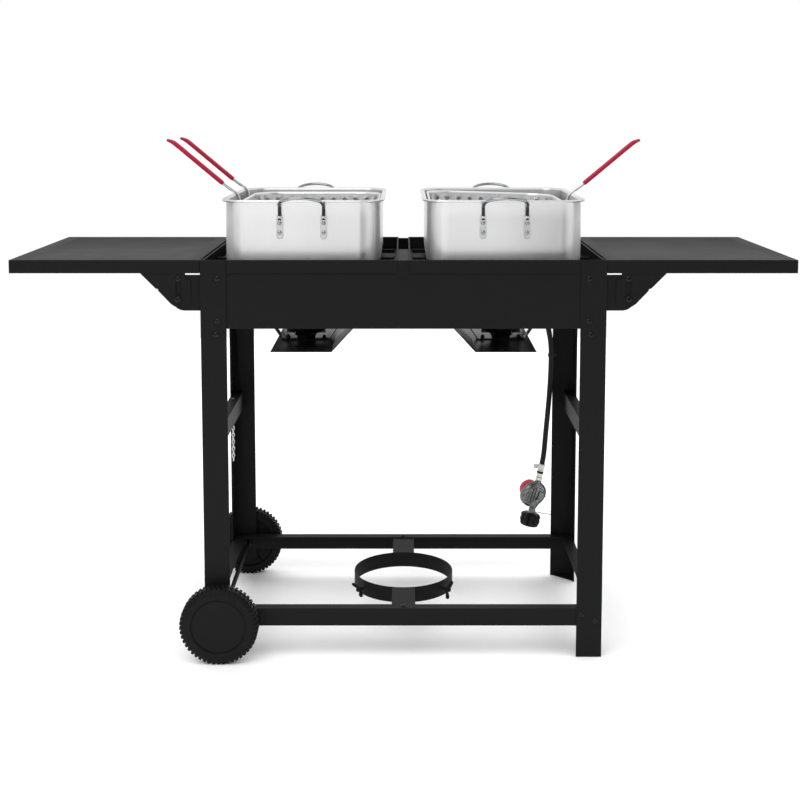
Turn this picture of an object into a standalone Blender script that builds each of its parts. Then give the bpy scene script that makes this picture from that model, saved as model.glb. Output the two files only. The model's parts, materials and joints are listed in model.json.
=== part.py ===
"""Outdoor fryer cart: a folded-sheet frame on two wheels, two gas burners, two rectangular
pots with lift-out baskets, two drop-leaf side shelves and a hanging gas hose with regulator.

Metres. X runs along the front, Y from front to rear, Z up. The origin is on the floor under
the middle of the cart.
"""
import bpy
import bmesh
import math
from mathutils import Matrix, Vector

# ---------------------------------------------------------------- driving dimensions
GAP = 0.0003                 # clearance between neighbouring pieces
SHEET = 0.0018               # frame sheet thickness
THIN = 0.0012                # shelf, tray and shield sheet thickness

FRAME_X = 0.413              # outer faces of the legs, from the middle
FRAME_Y = 0.235
TOP_Z = 0.835                # cooking top and shelf tops
LEG_FRONT = 0.053            # leg flange seen from the front
LEG_SIDE = 0.048
LEFT_LEG_BOTTOM = 0.045
APRON_BOTTOM = 0.694
APRON_RETURN = 0.015

SKIRT_DROP = 0.027           # folded edge of trays and shelves
TRAY_INNER_X = 0.0115
TRAY_FLOOR = 0.806
FLAME_HOLE_R = 0.100
GRATE_TOP = 0.8225
GRATE_BAR_Y = 0.075

RAIL_TOP = 0.104
RAIL_DROP = 0.037
RAIL_FLANGE = 0.024
MID_RAIL_TOP = 0.460
MID_RAIL_DROP = 0.041
MID_RAIL_FLANGE = 0.023

RING_R = 0.1107
RING_BAND = 0.0015
RING_BOTTOM = 0.068
STRAP_WIDTH = 0.050
WING_ANGLE = math.radians(52)
WING_Z = 0.084

WHEEL_X = -0.380
WHEEL_R = 0.081
WHEEL_INNER_Y = 0.2385
WHEEL_OUTER_Y = 0.278
AXLE_R = 0.005

SHELF_END_X = 0.800
SHELF_HALF_Y = 0.2335
PIVOT_OUT = 0.0443           # shelf pivot, out from the leg
PIVOT_Z = 0.755
ARM_Y = 0.2313               # middle of the swing arm's sheet
BRACKET_Y = 0.2290
PIN_R = 0.004

BURNER_X = 0.216
SHIELD_Z = 0.631
SHIELD_HALF_X = 0.0645
SHIELD_HALF_Y = 0.155
SHIELD_FLARE = 0.045
STRAP_HALF_Y = 0.016
STRAP_FOOT = 0.052
MANIFOLD_Y = 0.205
MANIFOLD_Z = 0.700
VALVE_X = 0.305
VALVE_Z = 0.652

HOSE_R = 0.00625
HOSE_Y = 0.185
HOSE_ROUTE = [
    (0.2353, 0.7030), (0.2600, 0.7045), (0.2850, 0.7000), (0.3100, 0.6850), (0.3300, 0.6600),
    (0.3425, 0.6250), (0.3500, 0.5800), (0.3505, 0.5300), (0.3485, 0.4800), (0.3450, 0.4300),
    (0.3400, 0.3700), (0.3360, 0.3200), (0.3320, 0.2940),
]
DROP_LEAN = math.radians(11.5)   # lean of the hanging regulator

POT_X = 0.208
POT_HALF_X = 0.1605
POT_HALF_Y = 0.201
POT_BOTTOM = GRATE_TOP + GAP
POT_TOP = 0.955
POT_CORNER = 0.045
POT_WALL = 0.0015
POT_LIP = 0.0085

BASKET_HALF_X = 0.143
BASKET_HALF_Y = 0.187
BASKET_BOTTOM = 0.835
BASKET_TOP = 0.945
BASKET_SHIFT = 0.010         # each basket stands pushed towards the middle of the cart
BASKET_TILT = {"basket_left": 0.0, "basket_right": math.radians(1.8)}
ROD_X = 0.350
ROD_Y = 0.082
ROD_R = 0.003
SLEEVE_R = 0.0049


# ---------------------------------------------------------------- scene and materials
def clear_scene():
    for obj in list(bpy.data.objects):
        bpy.data.objects.remove(obj, do_unlink=True)


def make_collection(name):
    collection = bpy.data.collections.new(name)
    bpy.context.scene.collection.children.link(collection)
    return collection


def make_material(name, colour, roughness, metallic):
    material = bpy.data.materials.new(name)
    material.use_nodes = True
    shader = material.node_tree.nodes["Principled BSDF"]
    shader.inputs["Base Color"].default_value = (*colour, 1.0)
    shader.inputs["Roughness"].default_value = roughness
    shader.inputs["Metallic"].default_value = metallic
    return material


clear_scene()
PARTS = make_collection("turkey_fryer_kit")
CUTTERS = make_collection("cutters")
BLACK_COAT = make_material("black_coat", (0.018, 0.018, 0.019), 0.38, 0.0)
ALUMINIUM = make_material("aluminium", (0.80, 0.80, 0.81), 0.28, 1.0)
WIRE_STEEL = make_material("wire_steel", (0.66, 0.67, 0.68), 0.22, 1.0)
CAST_IRON = make_material("cast_iron", (0.030, 0.030, 0.032), 0.70, 0.2)
TYRE_BLACK = make_material("wheel_plastic", (0.016, 0.016, 0.017), 0.55, 0.0)
HOSE_RUBBER = make_material("hose_rubber", (0.022, 0.022, 0.024), 0.50, 0.0)
ZINC_CAST = make_material("zinc_casting", (0.36, 0.37, 0.37), 0.45, 0.8)
BRASS = make_material("plated_brass", (0.62, 0.58, 0.48), 0.30, 1.0)
RED_PLASTIC = make_material("red_plastic", (0.55, 0.010, 0.040), 0.35, 0.0)
RED_VINYL = make_material("red_vinyl", (0.48, 0.010, 0.045), 0.42, 0.0)
NUT_PLASTIC = make_material("nut_plastic", (0.015, 0.015, 0.016), 0.45, 0.0)


# ---------------------------------------------------------------- building blocks
def add_object(name, mesh, material):
    obj = bpy.data.objects.new(name, mesh)
    PARTS.objects.link(obj)
    mesh.materials.clear()
    mesh.materials.append(material)
    return obj


def mesh_from(bm, name, smooth_angle=None):
    mesh = bpy.data.meshes.new(name)
    bm.to_mesh(mesh)
    bm.free()
    if smooth_angle:
        mesh.shade_smooth()
        mesh.set_sharp_from_angle(angle=math.radians(smooth_angle))
    return mesh


def box(name, low, high, material):
    low, high = Vector(low), Vector(high)
    bm = bmesh.new()
    place = Matrix.Translation((low + high) / 2) @ Matrix.Diagonal((*(high - low), 1.0))
    bmesh.ops.create_cube(bm, size=1.0, matrix=place)
    return add_object(name, mesh_from(bm, name), material)


def rod(name, start, end, radius, material, sides=16, end_radius=None):
    start, end = Vector(start), Vector(end)
    run = end - start
    bm = bmesh.new()
    turn = run.to_track_quat("Z", "Y").to_matrix().to_4x4()
    bmesh.ops.create_cone(bm, cap_ends=True, segments=sides, radius1=radius,
                          radius2=radius if end_radius is None else end_radius,
                          depth=run.length, matrix=Matrix.Translation((start + end) / 2) @ turn)
    return add_object(name, mesh_from(bm, name, 40), material)


def curve_to_solid(curve, name, material):
    """Turns a curve object into a welded mesh object with the same place."""
    bpy.context.view_layer.update()
    graph = bpy.context.evaluated_depsgraph_get()
    mesh = bpy.data.meshes.new_from_object(curve.evaluated_get(graph))
    place = curve.matrix_world.copy()
    bpy.data.objects.remove(curve, do_unlink=True)
    bm = bmesh.new()
    bm.from_mesh(mesh)
    bmesh.ops.remove_doubles(bm, verts=bm.verts, dist=0.00002)
    bm.to_mesh(mesh)
    bm.free()
    mesh.shade_smooth()
    mesh.set_sharp_from_angle(angle=math.radians(40))
    obj = add_object(name, mesh, material)
    obj.matrix_world = place
    return obj


# A flat outline's two axes and its normal, as world directions.
PLANES = {
    "XY": Matrix(((1, 0, 0), (0, 1, 0), (0, 0, 1))),
    "XZ": Matrix(((1, 0, 0), (0, 0, -1), (0, 1, 0))),
    "YZ": Matrix(((0, 0, 1), (1, 0, 0), (0, 1, 0))),
}


def outline(name, points, plane, middle, depth, material):
    """A flat outline given depth along its plane's normal, its middle at that height."""
    data = bpy.data.curves.new(name + "_outline", "CURVE")
    data.dimensions = "2D"
    data.fill_mode = "BOTH"
    data.extrude = depth / 2
    spline = data.splines.new("POLY")
    spline.points.add(len(points) - 1)
    for spot, (a, b) in zip(spline.points, points):
        spot.co = (a, b, 0.0, 1.0)
    spline.use_cyclic_u = True
    curve = bpy.data.objects.new(name + "_outline", data)
    PARTS.objects.link(curve)
    turn = PLANES[plane].to_4x4()
    curve.matrix_world = turn @ Matrix.Translation((0, 0, middle))
    return curve_to_solid(curve, name, material)


def arc(centre, radius, start, end, steps):
    """Points along an arc, angles in degrees."""
    angles = [math.radians(start + (end - start) * i / steps) for i in range(steps + 1)]
    return [(centre[0] + radius * math.cos(a), centre[1] + radius * math.sin(a)) for a in angles]


def wire(name, points, radius, material, resolution=2):
    """A round wire or hose through the points."""
    data = bpy.data.curves.new(name + "_path", "CURVE")
    data.dimensions = "3D"
    data.bevel_depth = radius
    data.bevel_resolution = resolution
    data.use_fill_caps = True
    spline = data.splines.new("POLY")
    spline.points.add(len(points) - 1)
    for spot, point in zip(spline.points, points):
        spot.co = (*point, 1.0)
    curve = bpy.data.objects.new(name + "_path", data)
    PARTS.objects.link(curve)
    return curve_to_solid(curve, name, material)


def smooth_route(points, spacing):
    """Evenly spaced points on a smooth curve through the given points."""
    knots = [Vector(p) for p in points]
    ends = [knots[0] * 2 - knots[1]] + knots + [knots[-1] * 2 - knots[-2]]
    fine = []
    for before, a, b, after in zip(ends, ends[1:], ends[2:], ends[3:]):
        for i in range(20):
            t = i / 20
            fine.append(0.5 * ((2 * a) + (b - before) * t
                               + (2 * before - 5 * a + 4 * b - after) * t * t
                               + (3 * a - before - 3 * b + after) * t ** 3))
    fine.append(knots[-1])
    lengths = [0.0]
    for a, b in zip(fine, fine[1:]):
        lengths.append(lengths[-1] + (b - a).length)
    count = max(2, round(lengths[-1] / spacing))
    even, at = [], 0
    for i in range(count + 1):
        want = lengths[-1] * i / count
        while at < len(fine) - 2 and lengths[at + 1] < want:
            at += 1
        step = (want - lengths[at]) / (lengths[at + 1] - lengths[at])
        even.append(fine[at].lerp(fine[at + 1], step))
    return even


def strip(name, path, half_width, thickness, material, y_middle=0.0):
    """Bent sheet: a path in X and Z, drawn out along Y and given its thickness."""
    bm = bmesh.new()
    row = [bm.verts.new((x, y_middle - half_width, z)) for x, z in path]
    edges = [bm.edges.new(pair) for pair in zip(row, row[1:])]
    drawn = bmesh.ops.extrude_edge_only(bm, edges=edges)
    moved = [v for v in drawn["geom"] if isinstance(v, bmesh.types.BMVert)]
    bmesh.ops.translate(bm, verts=moved, vec=(0, 2 * half_width, 0))
    bmesh.ops.recalc_face_normals(bm, faces=bm.faces)
    obj = add_object(name, mesh_from(bm, name), material)
    solid = obj.modifiers.new("sheet", "SOLIDIFY")
    solid.thickness = thickness
    solid.offset = 0.0
    solid.use_even_offset = True
    return obj


def turned(name, profile, steps, material):
    """A turned solid about its own Z axis; the profile runs from its top, down the outside."""
    bm = bmesh.new()
    row = [bm.verts.new((r, 0, z)) for r, z in profile]
    for pair in zip(row, row[1:]):
        bm.edges.new(pair)
    if profile[0][0] > 0:
        bm.edges.new((row[-1], row[0]))
    obj = add_object(name, mesh_from(bm, name), material)
    screw = obj.modifiers.new("turn", "SCREW")
    screw.steps = steps
    screw.render_steps = steps
    screw.axis = "Z"
    screw.use_merge_vertices = True
    screw.merge_threshold = 0.00001
    screw.use_smooth_shade = True
    return obj


def open_box(name, low, high, corner, foot, wall, lip, material, segments=4):
    """An open-topped pan with rounded upright corners, a rounded foot and an outward lip."""
    low, high = Vector(low), Vector(high)
    bm = bmesh.new()
    place = Matrix.Translation((low + high) / 2) @ Matrix.Diagonal((*(high - low), 1.0))
    bmesh.ops.create_cube(bm, size=1.0, matrix=place)
    lid = [f for f in bm.faces if f.normal.z > 0.9]
    bmesh.ops.delete(bm, geom=lid, context="FACES_ONLY")
    upright = [e for e in bm.edges if abs(e.verts[0].co.z - e.verts[1].co.z) > 0.01]
    bmesh.ops.bevel(bm, geom=upright, offset=corner, segments=segments, affect="EDGES",
                    profile=0.5, clamp_overlap=True)
    base = [e for e in bm.edges
            if all(abs(v.co.z - low.z) < 0.0001 for v in e.verts) and len(e.link_faces) == 2]
    if foot:
        bmesh.ops.bevel(bm, geom=base, offset=foot, segments=2, affect="EDGES",
                        profile=0.5, clamp_overlap=True)
    rim = [e for e in bm.edges if len(e.link_faces) == 1]
    if lip:
        drawn = bmesh.ops.extrude_edge_only(bm, edges=rim)
        middle = (low + high) / 2
        size = high - low
        for vert in [v for v in drawn["geom"] if isinstance(v, bmesh.types.BMVert)]:
            vert.co.x = middle.x + (vert.co.x - middle.x) * (1 + 2 * lip / size.x)
            vert.co.y = middle.y + (vert.co.y - middle.y) * (1 + 2 * lip / size.y)
    bmesh.ops.recalc_face_normals(bm, faces=bm.faces)
    if min(bm.faces, key=lambda f: f.calc_center_median().z).normal.z > 0:
        bmesh.ops.reverse_faces(bm, faces=bm.faces)
    obj = add_object(name, mesh_from(bm, name, 35), material)
    solid = obj.modifiers.new("sheet", "SOLIDIFY")
    solid.thickness = wall
    solid.offset = -1.0
    solid.use_even_offset = True
    return obj


def boolean(target, tool, operation):
    for collection in list(tool.users_collection):
        collection.objects.unlink(tool)
    CUTTERS.objects.link(tool)
    tool.name = target.name + "_tool"
    tool.hide_render = True
    tool.display_type = "WIRE"
    modifier = target.modifiers.new(operation.lower(), "BOOLEAN")
    modifier.operation = operation
    modifier.solver = "EXACT"
    modifier.object = tool


def cut(target, *tools):
    for tool in tools:
        boolean(target, tool, "DIFFERENCE")
    return target


def join(target, *tools):
    for tool in tools:
        boolean(target, tool, "UNION")
    return target


def set_origin(obj, point):
    """Moves the object's origin to the point, its shape staying where it is."""
    place = Matrix.Translation(Vector(point))
    obj.data.transform(place.inverted() @ obj.matrix_world)
    obj.matrix_world = place


# ---------------------------------------------------------------- frame
def leg(name, side_x, side_y, bottom):
    x, y = side_x * FRAME_X, side_y * FRAME_Y
    section = [(x, y), (x - side_x * LEG_FRONT, y), (x - side_x * LEG_FRONT, y - side_y * SHEET),
               (x - side_x * SHEET, y - side_y * SHEET),
               (x - side_x * SHEET, y - side_y * LEG_SIDE), (x, y - side_y * LEG_SIDE)]
    top = TOP_Z - 0.0005
    post = outline(name, section, "XY", (bottom + top) / 2, top - bottom, BLACK_COAT)
    if bottom == 0:
        inset = SHEET / 2
        foot = [(x - side_x * inset, y - side_y * inset),
                (x - side_x * (LEG_FRONT - 0.004), y - side_y * inset),
                (x - side_x * inset, y - side_y * (LEG_SIDE - 0.004))]
        join(post, outline("foot", foot, "XY", 0.0015, 0.0030, BLACK_COAT))
    else:
        cut(post, axle_hole(y))
    return post


def axle_hole(y):
    return rod("axle_hole", (WHEEL_X, y - 0.01, WHEEL_R), (WHEEL_X, y + 0.01, WHEEL_R),
               AXLE_R + GAP, BLACK_COAT)


def legs():
    for side_x, x_name, bottom in ((-1, "left", LEFT_LEG_BOTTOM), (1, "right", 0.0)):
        for side_y, y_name in ((-1, "front"), (1, "rear")):
            leg(f"leg_{y_name}_{x_name}", side_x, side_y, bottom)


def angle_along_x(name, side_y, outer_y, bottom, top, flange_z, flange, half_x):
    """An L section running along X, its upright outside and its flange turned inwards."""
    out, inner = side_y * outer_y, side_y * (outer_y - SHEET)
    reach = side_y * (outer_y - flange)
    if flange_z == bottom:
        points = [(out, bottom), (reach, bottom), (reach, bottom + SHEET),
                  (inner, bottom + SHEET), (inner, top), (out, top)]
    else:
        points = [(out, top), (reach, top), (reach, top - SHEET),
                  (inner, top - SHEET), (inner, bottom), (out, bottom)]
    return outline(name, points, "YZ", 0.0, 2 * half_x, BLACK_COAT)


def aprons():
    outer = FRAME_Y - SHEET - GAP
    half = FRAME_X - SHEET - GAP
    for side_y, name in ((-1, "apron_front"), (1, "apron_rear")):
        angle_along_x(name, side_y, outer, APRON_BOTTOM, TOP_Z - 0.0025, APRON_BOTTOM,
                      APRON_RETURN, half)


def end_panels():
    outer = FRAME_X - SHEET - GAP
    half_y = FRAME_Y - SHEET - APRON_RETURN - 2 * GAP
    for side_x, name in ((-1, "end_panel_left"), (1, "end_panel_right")):
        edges = sorted((side_x * outer, side_x * (outer - SHEET)))
        box(name, (edges[0], -half_y, APRON_BOTTOM), (edges[1], half_y, TOP_Z - 0.0025), BLACK_COAT)


def lower_rails():
    outer_y = FRAME_Y - SHEET - GAP
    outer_x = FRAME_X - SHEET - GAP
    for side_y, name in ((-1, "rail_front"), (1, "rail_rear")):
        rail = angle_along_x(name, side_y, outer_y, RAIL_TOP - RAIL_DROP, RAIL_TOP, RAIL_TOP,
                             RAIL_FLANGE, outer_x)
        cut(rail, axle_hole(side_y * outer_y))
    half_y = outer_y - RAIL_FLANGE - GAP
    for side_x, name in ((-1, "rail_left"), (1, "rail_right")):
        side_rail(name, side_x, outer_x, RAIL_TOP, RAIL_DROP, 0.026, half_y, outside=True)


def side_rail(name, side_x, outer_x, top, drop, flange, half_y, outside):
    """An L section running along Y, its upright at its outer or its inner edge."""
    far, near = side_x * outer_x, side_x * (outer_x - flange)
    wall, other = (far, near) if outside else (near, far)
    inward = SHEET if wall < other else -SHEET
    points = [(wall, top - drop), (wall, top), (other, top), (other, top - SHEET),
              (wall + inward, top - SHEET), (wall + inward, top - drop)]
    return outline(name, points, "XZ", 0.0, 2 * half_y, BLACK_COAT)


def middle_rails():
    outer_x = FRAME_X - SHEET - GAP
    half_y = FRAME_Y - SHEET - GAP
    for side_x, name in ((-1, "middle_rail_left"), (1, "middle_rail_right")):
        side_rail(name, side_x, outer_x, MID_RAIL_TOP, MID_RAIL_DROP, MID_RAIL_FLANGE, half_y,
                  outside=False)


def centre_strip():
    """The strip between the trays: a raised cap over its front half, folded over the apron."""
    half = TRAY_INNER_X - 2 * GAP
    low_top = TRAY_FLOOR
    end = FRAME_Y - 2 * SHEET - 2 * GAP
    body = box("centre_strip", (-half, -end, low_top - 0.030), (half, end, low_top), BLACK_COAT)
    cap = box("cap", (-half, -FRAME_Y, TOP_Z - 0.0020), (half, -0.030, TOP_Z - 0.0004), BLACK_COAT)
    post = box("post", (-half + 0.001, -end + 0.001, low_top - 0.010),
               (half - 0.001, -0.0315, TOP_Z - 0.0010), BLACK_COAT)
    front = -FRAME_Y + SHEET / 2
    tab = [(-half, TOP_Z - 0.0012)] + arc((0, TOP_Z - SKIRT_DROP), half * 0.999, 180, 360, 8)
    tab = tab + [(half, TOP_Z - 0.0012)]
    face = outline("tab", tab, "XZ", -front, SHEET - 0.0004, BLACK_COAT)
    join(body, post, cap, face)


def ring():
    """Bottle ring with its two straps, held under the rails' flanges."""
    top = RAIL_TOP - SHEET - GAP
    inner = RING_R - RING_BAND
    profile = [(inner, top), (RING_R, top), (RING_R, RING_BOTTOM), (inner, RING_BOTTOM)]
    band = turned("bottle_ring", profile, 40, BLACK_COAT)
    end = FRAME_Y - 2 * SHEET - 2 * GAP
    for side in (-1, 1):
        ys = sorted((side * (RING_R - RING_BAND * 0.6), side * end))
        strap = box("strap", (-STRAP_WIDTH / 2, ys[0], top - RING_BAND - 0.0002),
                    (STRAP_WIDTH / 2, ys[1], top - 0.0002), BLACK_COAT)
        join(band, strap)
    for side in (-1, 1):
        out = wing_direction(side)
        hole = rod("hole", out * (RING_R - 0.012) + Vector((0, 0, WING_Z)),
                   out * (RING_R + 0.012) + Vector((0, 0, WING_Z)), 0.003 + GAP, BLACK_COAT, 12)
        cut(band, hole)


def wing_direction(side_x):
    return Vector((side_x * math.sin(WING_ANGLE), -math.cos(WING_ANGLE), 0.0))


def wing_screws():
    for side_x, name, tilt in ((-1, "wing_screw_left", 58), (1, "wing_screw_right", -28)):
        out = wing_direction(side_x)
        centre = Vector((0, 0, WING_Z))
        screw = rod(name, out * (RING_R - 0.010) + centre, out * (RING_R + 0.013) + centre,
                    0.003, BLACK_COAT, 12)
        hub = rod("hub", out * (RING_R + 0.009) + centre, out * (RING_R + 0.020) + centre,
                  0.0058, BLACK_COAT, 12)
        across = Matrix.Rotation(math.radians(tilt), 3, out) @ Vector((0, 0, 1))
        middle = out * (RING_R + 0.0145) + centre
        wings = rod("wings", middle - across * 0.017, middle + across * 0.017, 0.0028,
                    BLACK_COAT, 8)
        join(screw, hub, wings)
        set_origin(screw, centre + out * RING_R)


# ---------------------------------------------------------------- wheels
def axle():
    reach = WHEEL_OUTER_Y - 0.010
    rod("axle", (WHEEL_X, -reach, WHEEL_R), (WHEEL_X, reach, WHEEL_R), AXLE_R, WIRE_STEEL)


def wheels():
    """Moulded wheels with a flat disc face and a blind bore from the inner side."""
    width = WHEEL_OUTER_Y - WHEEL_INNER_Y
    bore = AXLE_R + GAP
    profile = [
        (0.0, width), (0.054, width), (0.0555, width - 0.0015), (0.057, width),
        (0.0735, width), (0.0755, width - 0.003), (WHEEL_R, width - 0.005),
        (WHEEL_R, 0.005), (0.0755, 0.003), (0.0735, 0.0), (0.060, 0.0), (0.058, 0.006),
        (0.022, 0.006), (0.020, 0.0), (bore, 0.0), (bore, width - 0.008), (0.0, width - 0.008),
    ]
    for side, name in ((-1, "wheel_front"), (1, "wheel_rear")):
        wheel = turned(name, profile, 40, TYRE_BLACK)
        wheel.location = (WHEEL_X, side * WHEEL_INNER_Y, WHEEL_R)
        wheel.rotation_euler = (math.radians(-90 * side), 0, 0)


# ---------------------------------------------------------------- cooking top
def trays():
    end_x = FRAME_X - 2 * SHEET - 3 * GAP
    half_y = FRAME_Y - 2 * SHEET - 3 * GAP - 0.0008
    skirt_end = FRAME_X - LEG_FRONT - 2 * GAP
    for side, name in ((-1, "tray_left"), (1, "tray_right")):
        xs = sorted((side * TRAY_INNER_X, side * end_x))
        tray = box(name, (xs[0], -half_y, TRAY_FLOOR), (xs[1], half_y, TOP_Z), BLACK_COAT)
        hollow = box("hollow", (xs[0] + THIN, -half_y + THIN, TRAY_FLOOR + THIN),
                     (xs[1] - THIN, half_y - THIN, TOP_Z + 0.02), BLACK_COAT)
        flame = rod("flame", (side * BURNER_X, 0, TRAY_FLOOR - 0.01),
                    (side * BURNER_X, 0, TRAY_FLOOR + 0.01), FLAME_HOLE_R, BLACK_COAT, 32)
        cut(tray, hollow, flame)
        xs = sorted((side * TRAY_INNER_X, side * skirt_end))
        for side_y in (-1, 1):
            edge = side_y * FRAME_Y
            inner = side_y * (half_y - THIN / 2)
            points = [(inner, TOP_Z), (edge, TOP_Z), (edge, TOP_Z - SKIRT_DROP),
                      (edge - side_y * THIN, TOP_Z - SKIRT_DROP),
                      (edge - side_y * THIN, TOP_Z - THIN), (inner, TOP_Z - THIN)]
            join(tray, outline("skirt", points, "YZ", (xs[0] + xs[1]) / 2, xs[1] - xs[0],
                               BLACK_COAT))


def grates():
    """Two bars along X across two deeper bars along Y that stand on the tray."""
    bar = 0.005
    deep = GRATE_TOP - TRAY_FLOOR - THIN - GAP
    half_x, half_y = 0.190, 0.215
    cross = 0.120
    for side, name in ((-1, "grate_left"), (1, "grate_right")):
        middle = side * (BURNER_X - 0.006)
        grate, rear_bar = [box(name, (middle - half_x, y - bar / 2, GRATE_TOP - 0.008),
                               (middle + half_x, y + bar / 2, GRATE_TOP), BLACK_COAT)
                           for y in (-GRATE_BAR_Y, GRATE_BAR_Y)]
        long_bars = [box("bar", (x - bar / 2, -half_y, GRATE_TOP - deep),
                         (x + bar / 2, half_y, GRATE_TOP - 0.0004), BLACK_COAT)
                     for x in (middle - cross, middle + cross)]
        join(grate, *long_bars, rear_bar)


# ---------------------------------------------------------------- shelves
def shelves():
    for side, name in ((-1, "shelf_left"), (1, "shelf_right")):
        xs = sorted((side * (FRAME_X + 0.0006), side * SHELF_END_X))
        shelf = box(name, (xs[0], -SHELF_HALF_Y, TOP_Z - SKIRT_DROP),
                    (xs[1], SHELF_HALF_Y, TOP_Z), BLACK_COAT)
        hollow = box("hollow", (xs[0] + THIN, -SHELF_HALF_Y + THIN, TOP_Z - SKIRT_DROP - 0.02),
                     (xs[1] - THIN, SHELF_HALF_Y - THIN, TOP_Z - THIN), BLACK_COAT)
        cut(shelf, hollow)
        set_origin(shelf, (side * (FRAME_X + PIVOT_OUT), 0, PIVOT_Z))


def arm_outline(side):
    """Swing arm seen from the front, from the leg outwards."""
    points = [(0.0195, 0.7965), (0.0195, 0.7500)]
    points += arc((0.0300, 0.7500), 0.0105, 180, 270, 4)[1:]
    points += [(0.0520, 0.7395), (0.0600, 0.7450), (0.0850, 0.7715), (0.0862, 0.7755),
               (0.0905, 0.7765), (0.1215, 0.8078), (0.1215, 0.8240), (0.0300, 0.8240),
               (0.0300, 0.7965)]
    return [(side * (FRAME_X + out), z) for out, z in points]


def bracket_outline(side):
    points = [(0.0006, 0.8045), (0.0006, 0.7310), (0.0330, 0.7310)]
    points += arc((0.0330, 0.7560), 0.0250, -90, 0, 5)[1:]
    points += [(0.0580, 0.7930), (0.0465, 0.8045)]
    return [(side * (FRAME_X + out), z) for out, z in points]


def shelf_hinges():
    sheet = 0.0016
    for side, x_name in ((-1, "left"), (1, "right")):
        x = side * (FRAME_X + PIVOT_OUT)
        for side_y, y_name in ((-1, "front"), (1, "rear")):
            arm_y, plate_y = side_y * ARM_Y, side_y * BRACKET_Y
            arm = outline(f"shelf_arm_{y_name}_{x_name}", arm_outline(side), "XZ", -arm_y, sheet,
                          BLACK_COAT)
            hole = rod("hole", (x, arm_y - 0.01, PIVOT_Z), (x, arm_y + 0.01, PIVOT_Z),
                       PIN_R + GAP, BLACK_COAT)
            slot = [(side * (FRAME_X + PIVOT_OUT) + a, b)
                    for a, b in arc((0, 0.7860), 0.0055, 0, 180, 6)
                    + arc((0, 0.7680), 0.0055, 180, 360, 6)]
            cut(arm, hole, outline("slot", slot, "XZ", -arm_y, 0.02, BLACK_COAT))
            set_origin(arm, (x, 0, PIVOT_Z))
            bracket = outline(f"hinge_bracket_{y_name}_{x_name}", bracket_outline(side), "XZ",
                              -plate_y, sheet, BLACK_COAT)
            xs = sorted((side * (FRAME_X + 0.0003), side * (FRAME_X + 0.0019)))
            ys = sorted((plate_y + side_y * sheet / 2 - side_y * 0.0002, side_y * 0.200))
            flange = box("flange", (xs[0], ys[0], 0.7315), (xs[1], ys[1], 0.8040), BLACK_COAT)
            pin = rod("pin", (x, plate_y, PIVOT_Z), (x, side_y * (ARM_Y + 0.0052), PIVOT_Z),
                      PIN_R, BLACK_COAT)
            join(bracket, flange, pin)


# ---------------------------------------------------------------- burners and gas
def heat_shields():
    for side, name in ((-1, "heat_shield_left"), (1, "heat_shield_right")):
        outer = side * (BURNER_X + SHIELD_HALF_X)
        inner = side * (BURNER_X - SHIELD_HALF_X)
        flare = side * (BURNER_X - SHIELD_HALF_X - SHIELD_FLARE)
        path = [(outer, SHIELD_Z), (inner, SHIELD_Z), (flare, SHIELD_Z + SHIELD_FLARE * 1.1)]
        strip(name, path, SHIELD_HALF_Y, THIN, BLACK_COAT)


def burner_straps():
    foot_z = SHIELD_Z + THIN / 2 + GAP + SHEET / 2
    top_z = TRAY_FLOOR - GAP - SHEET / 2
    spread = (top_z - foot_z) * math.tan(math.radians(34))
    for side, name in ((-1, "burner_strap_left"), (1, "burner_strap_right")):
        middle = side * BURNER_X
        path = [(-STRAP_FOOT - spread - 0.014, top_z), (-STRAP_FOOT - spread, top_z),
                (-STRAP_FOOT, foot_z), (STRAP_FOOT, foot_z),
                (STRAP_FOOT + spread, top_z), (STRAP_FOOT + spread + 0.014, top_z)]
        strip(name, [(middle + x, z) for x, z in path], STRAP_HALF_Y, SHEET, BLACK_COAT)


def burners():
    """Round cast burner with its mixing tube running outwards and to the rear."""
    seat = SHIELD_Z + THIN / 2 + SHEET + 2 * GAP
    profile = [(0.0, 0.030), (0.018, 0.034), (0.036, 0.046), (0.050, 0.046), (0.055, 0.040),
               (0.055, 0.030), (0.040, 0.018), (0.024, 0.010), (0.020, 0.0), (0.0, 0.0)]
    for side, name in ((-1, "burner_left"), (1, "burner_right")):
        head = turned(name, profile, 32, CAST_IRON)
        head.location = (side * BURNER_X, 0, seat)
        start = Vector((side * (BURNER_X + 0.006), 0.012, VALVE_Z + 0.002))
        end = Vector((side * (VALVE_X - 0.004), 0.172, VALVE_Z))
        tube = rod("tube", start, end, 0.0105, CAST_IRON, 16)
        mouth = rod("mouth", start.lerp(end, 0.86), end, 0.0100, CAST_IRON, 16, 0.0160)
        join(head, tube, mouth)


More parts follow.
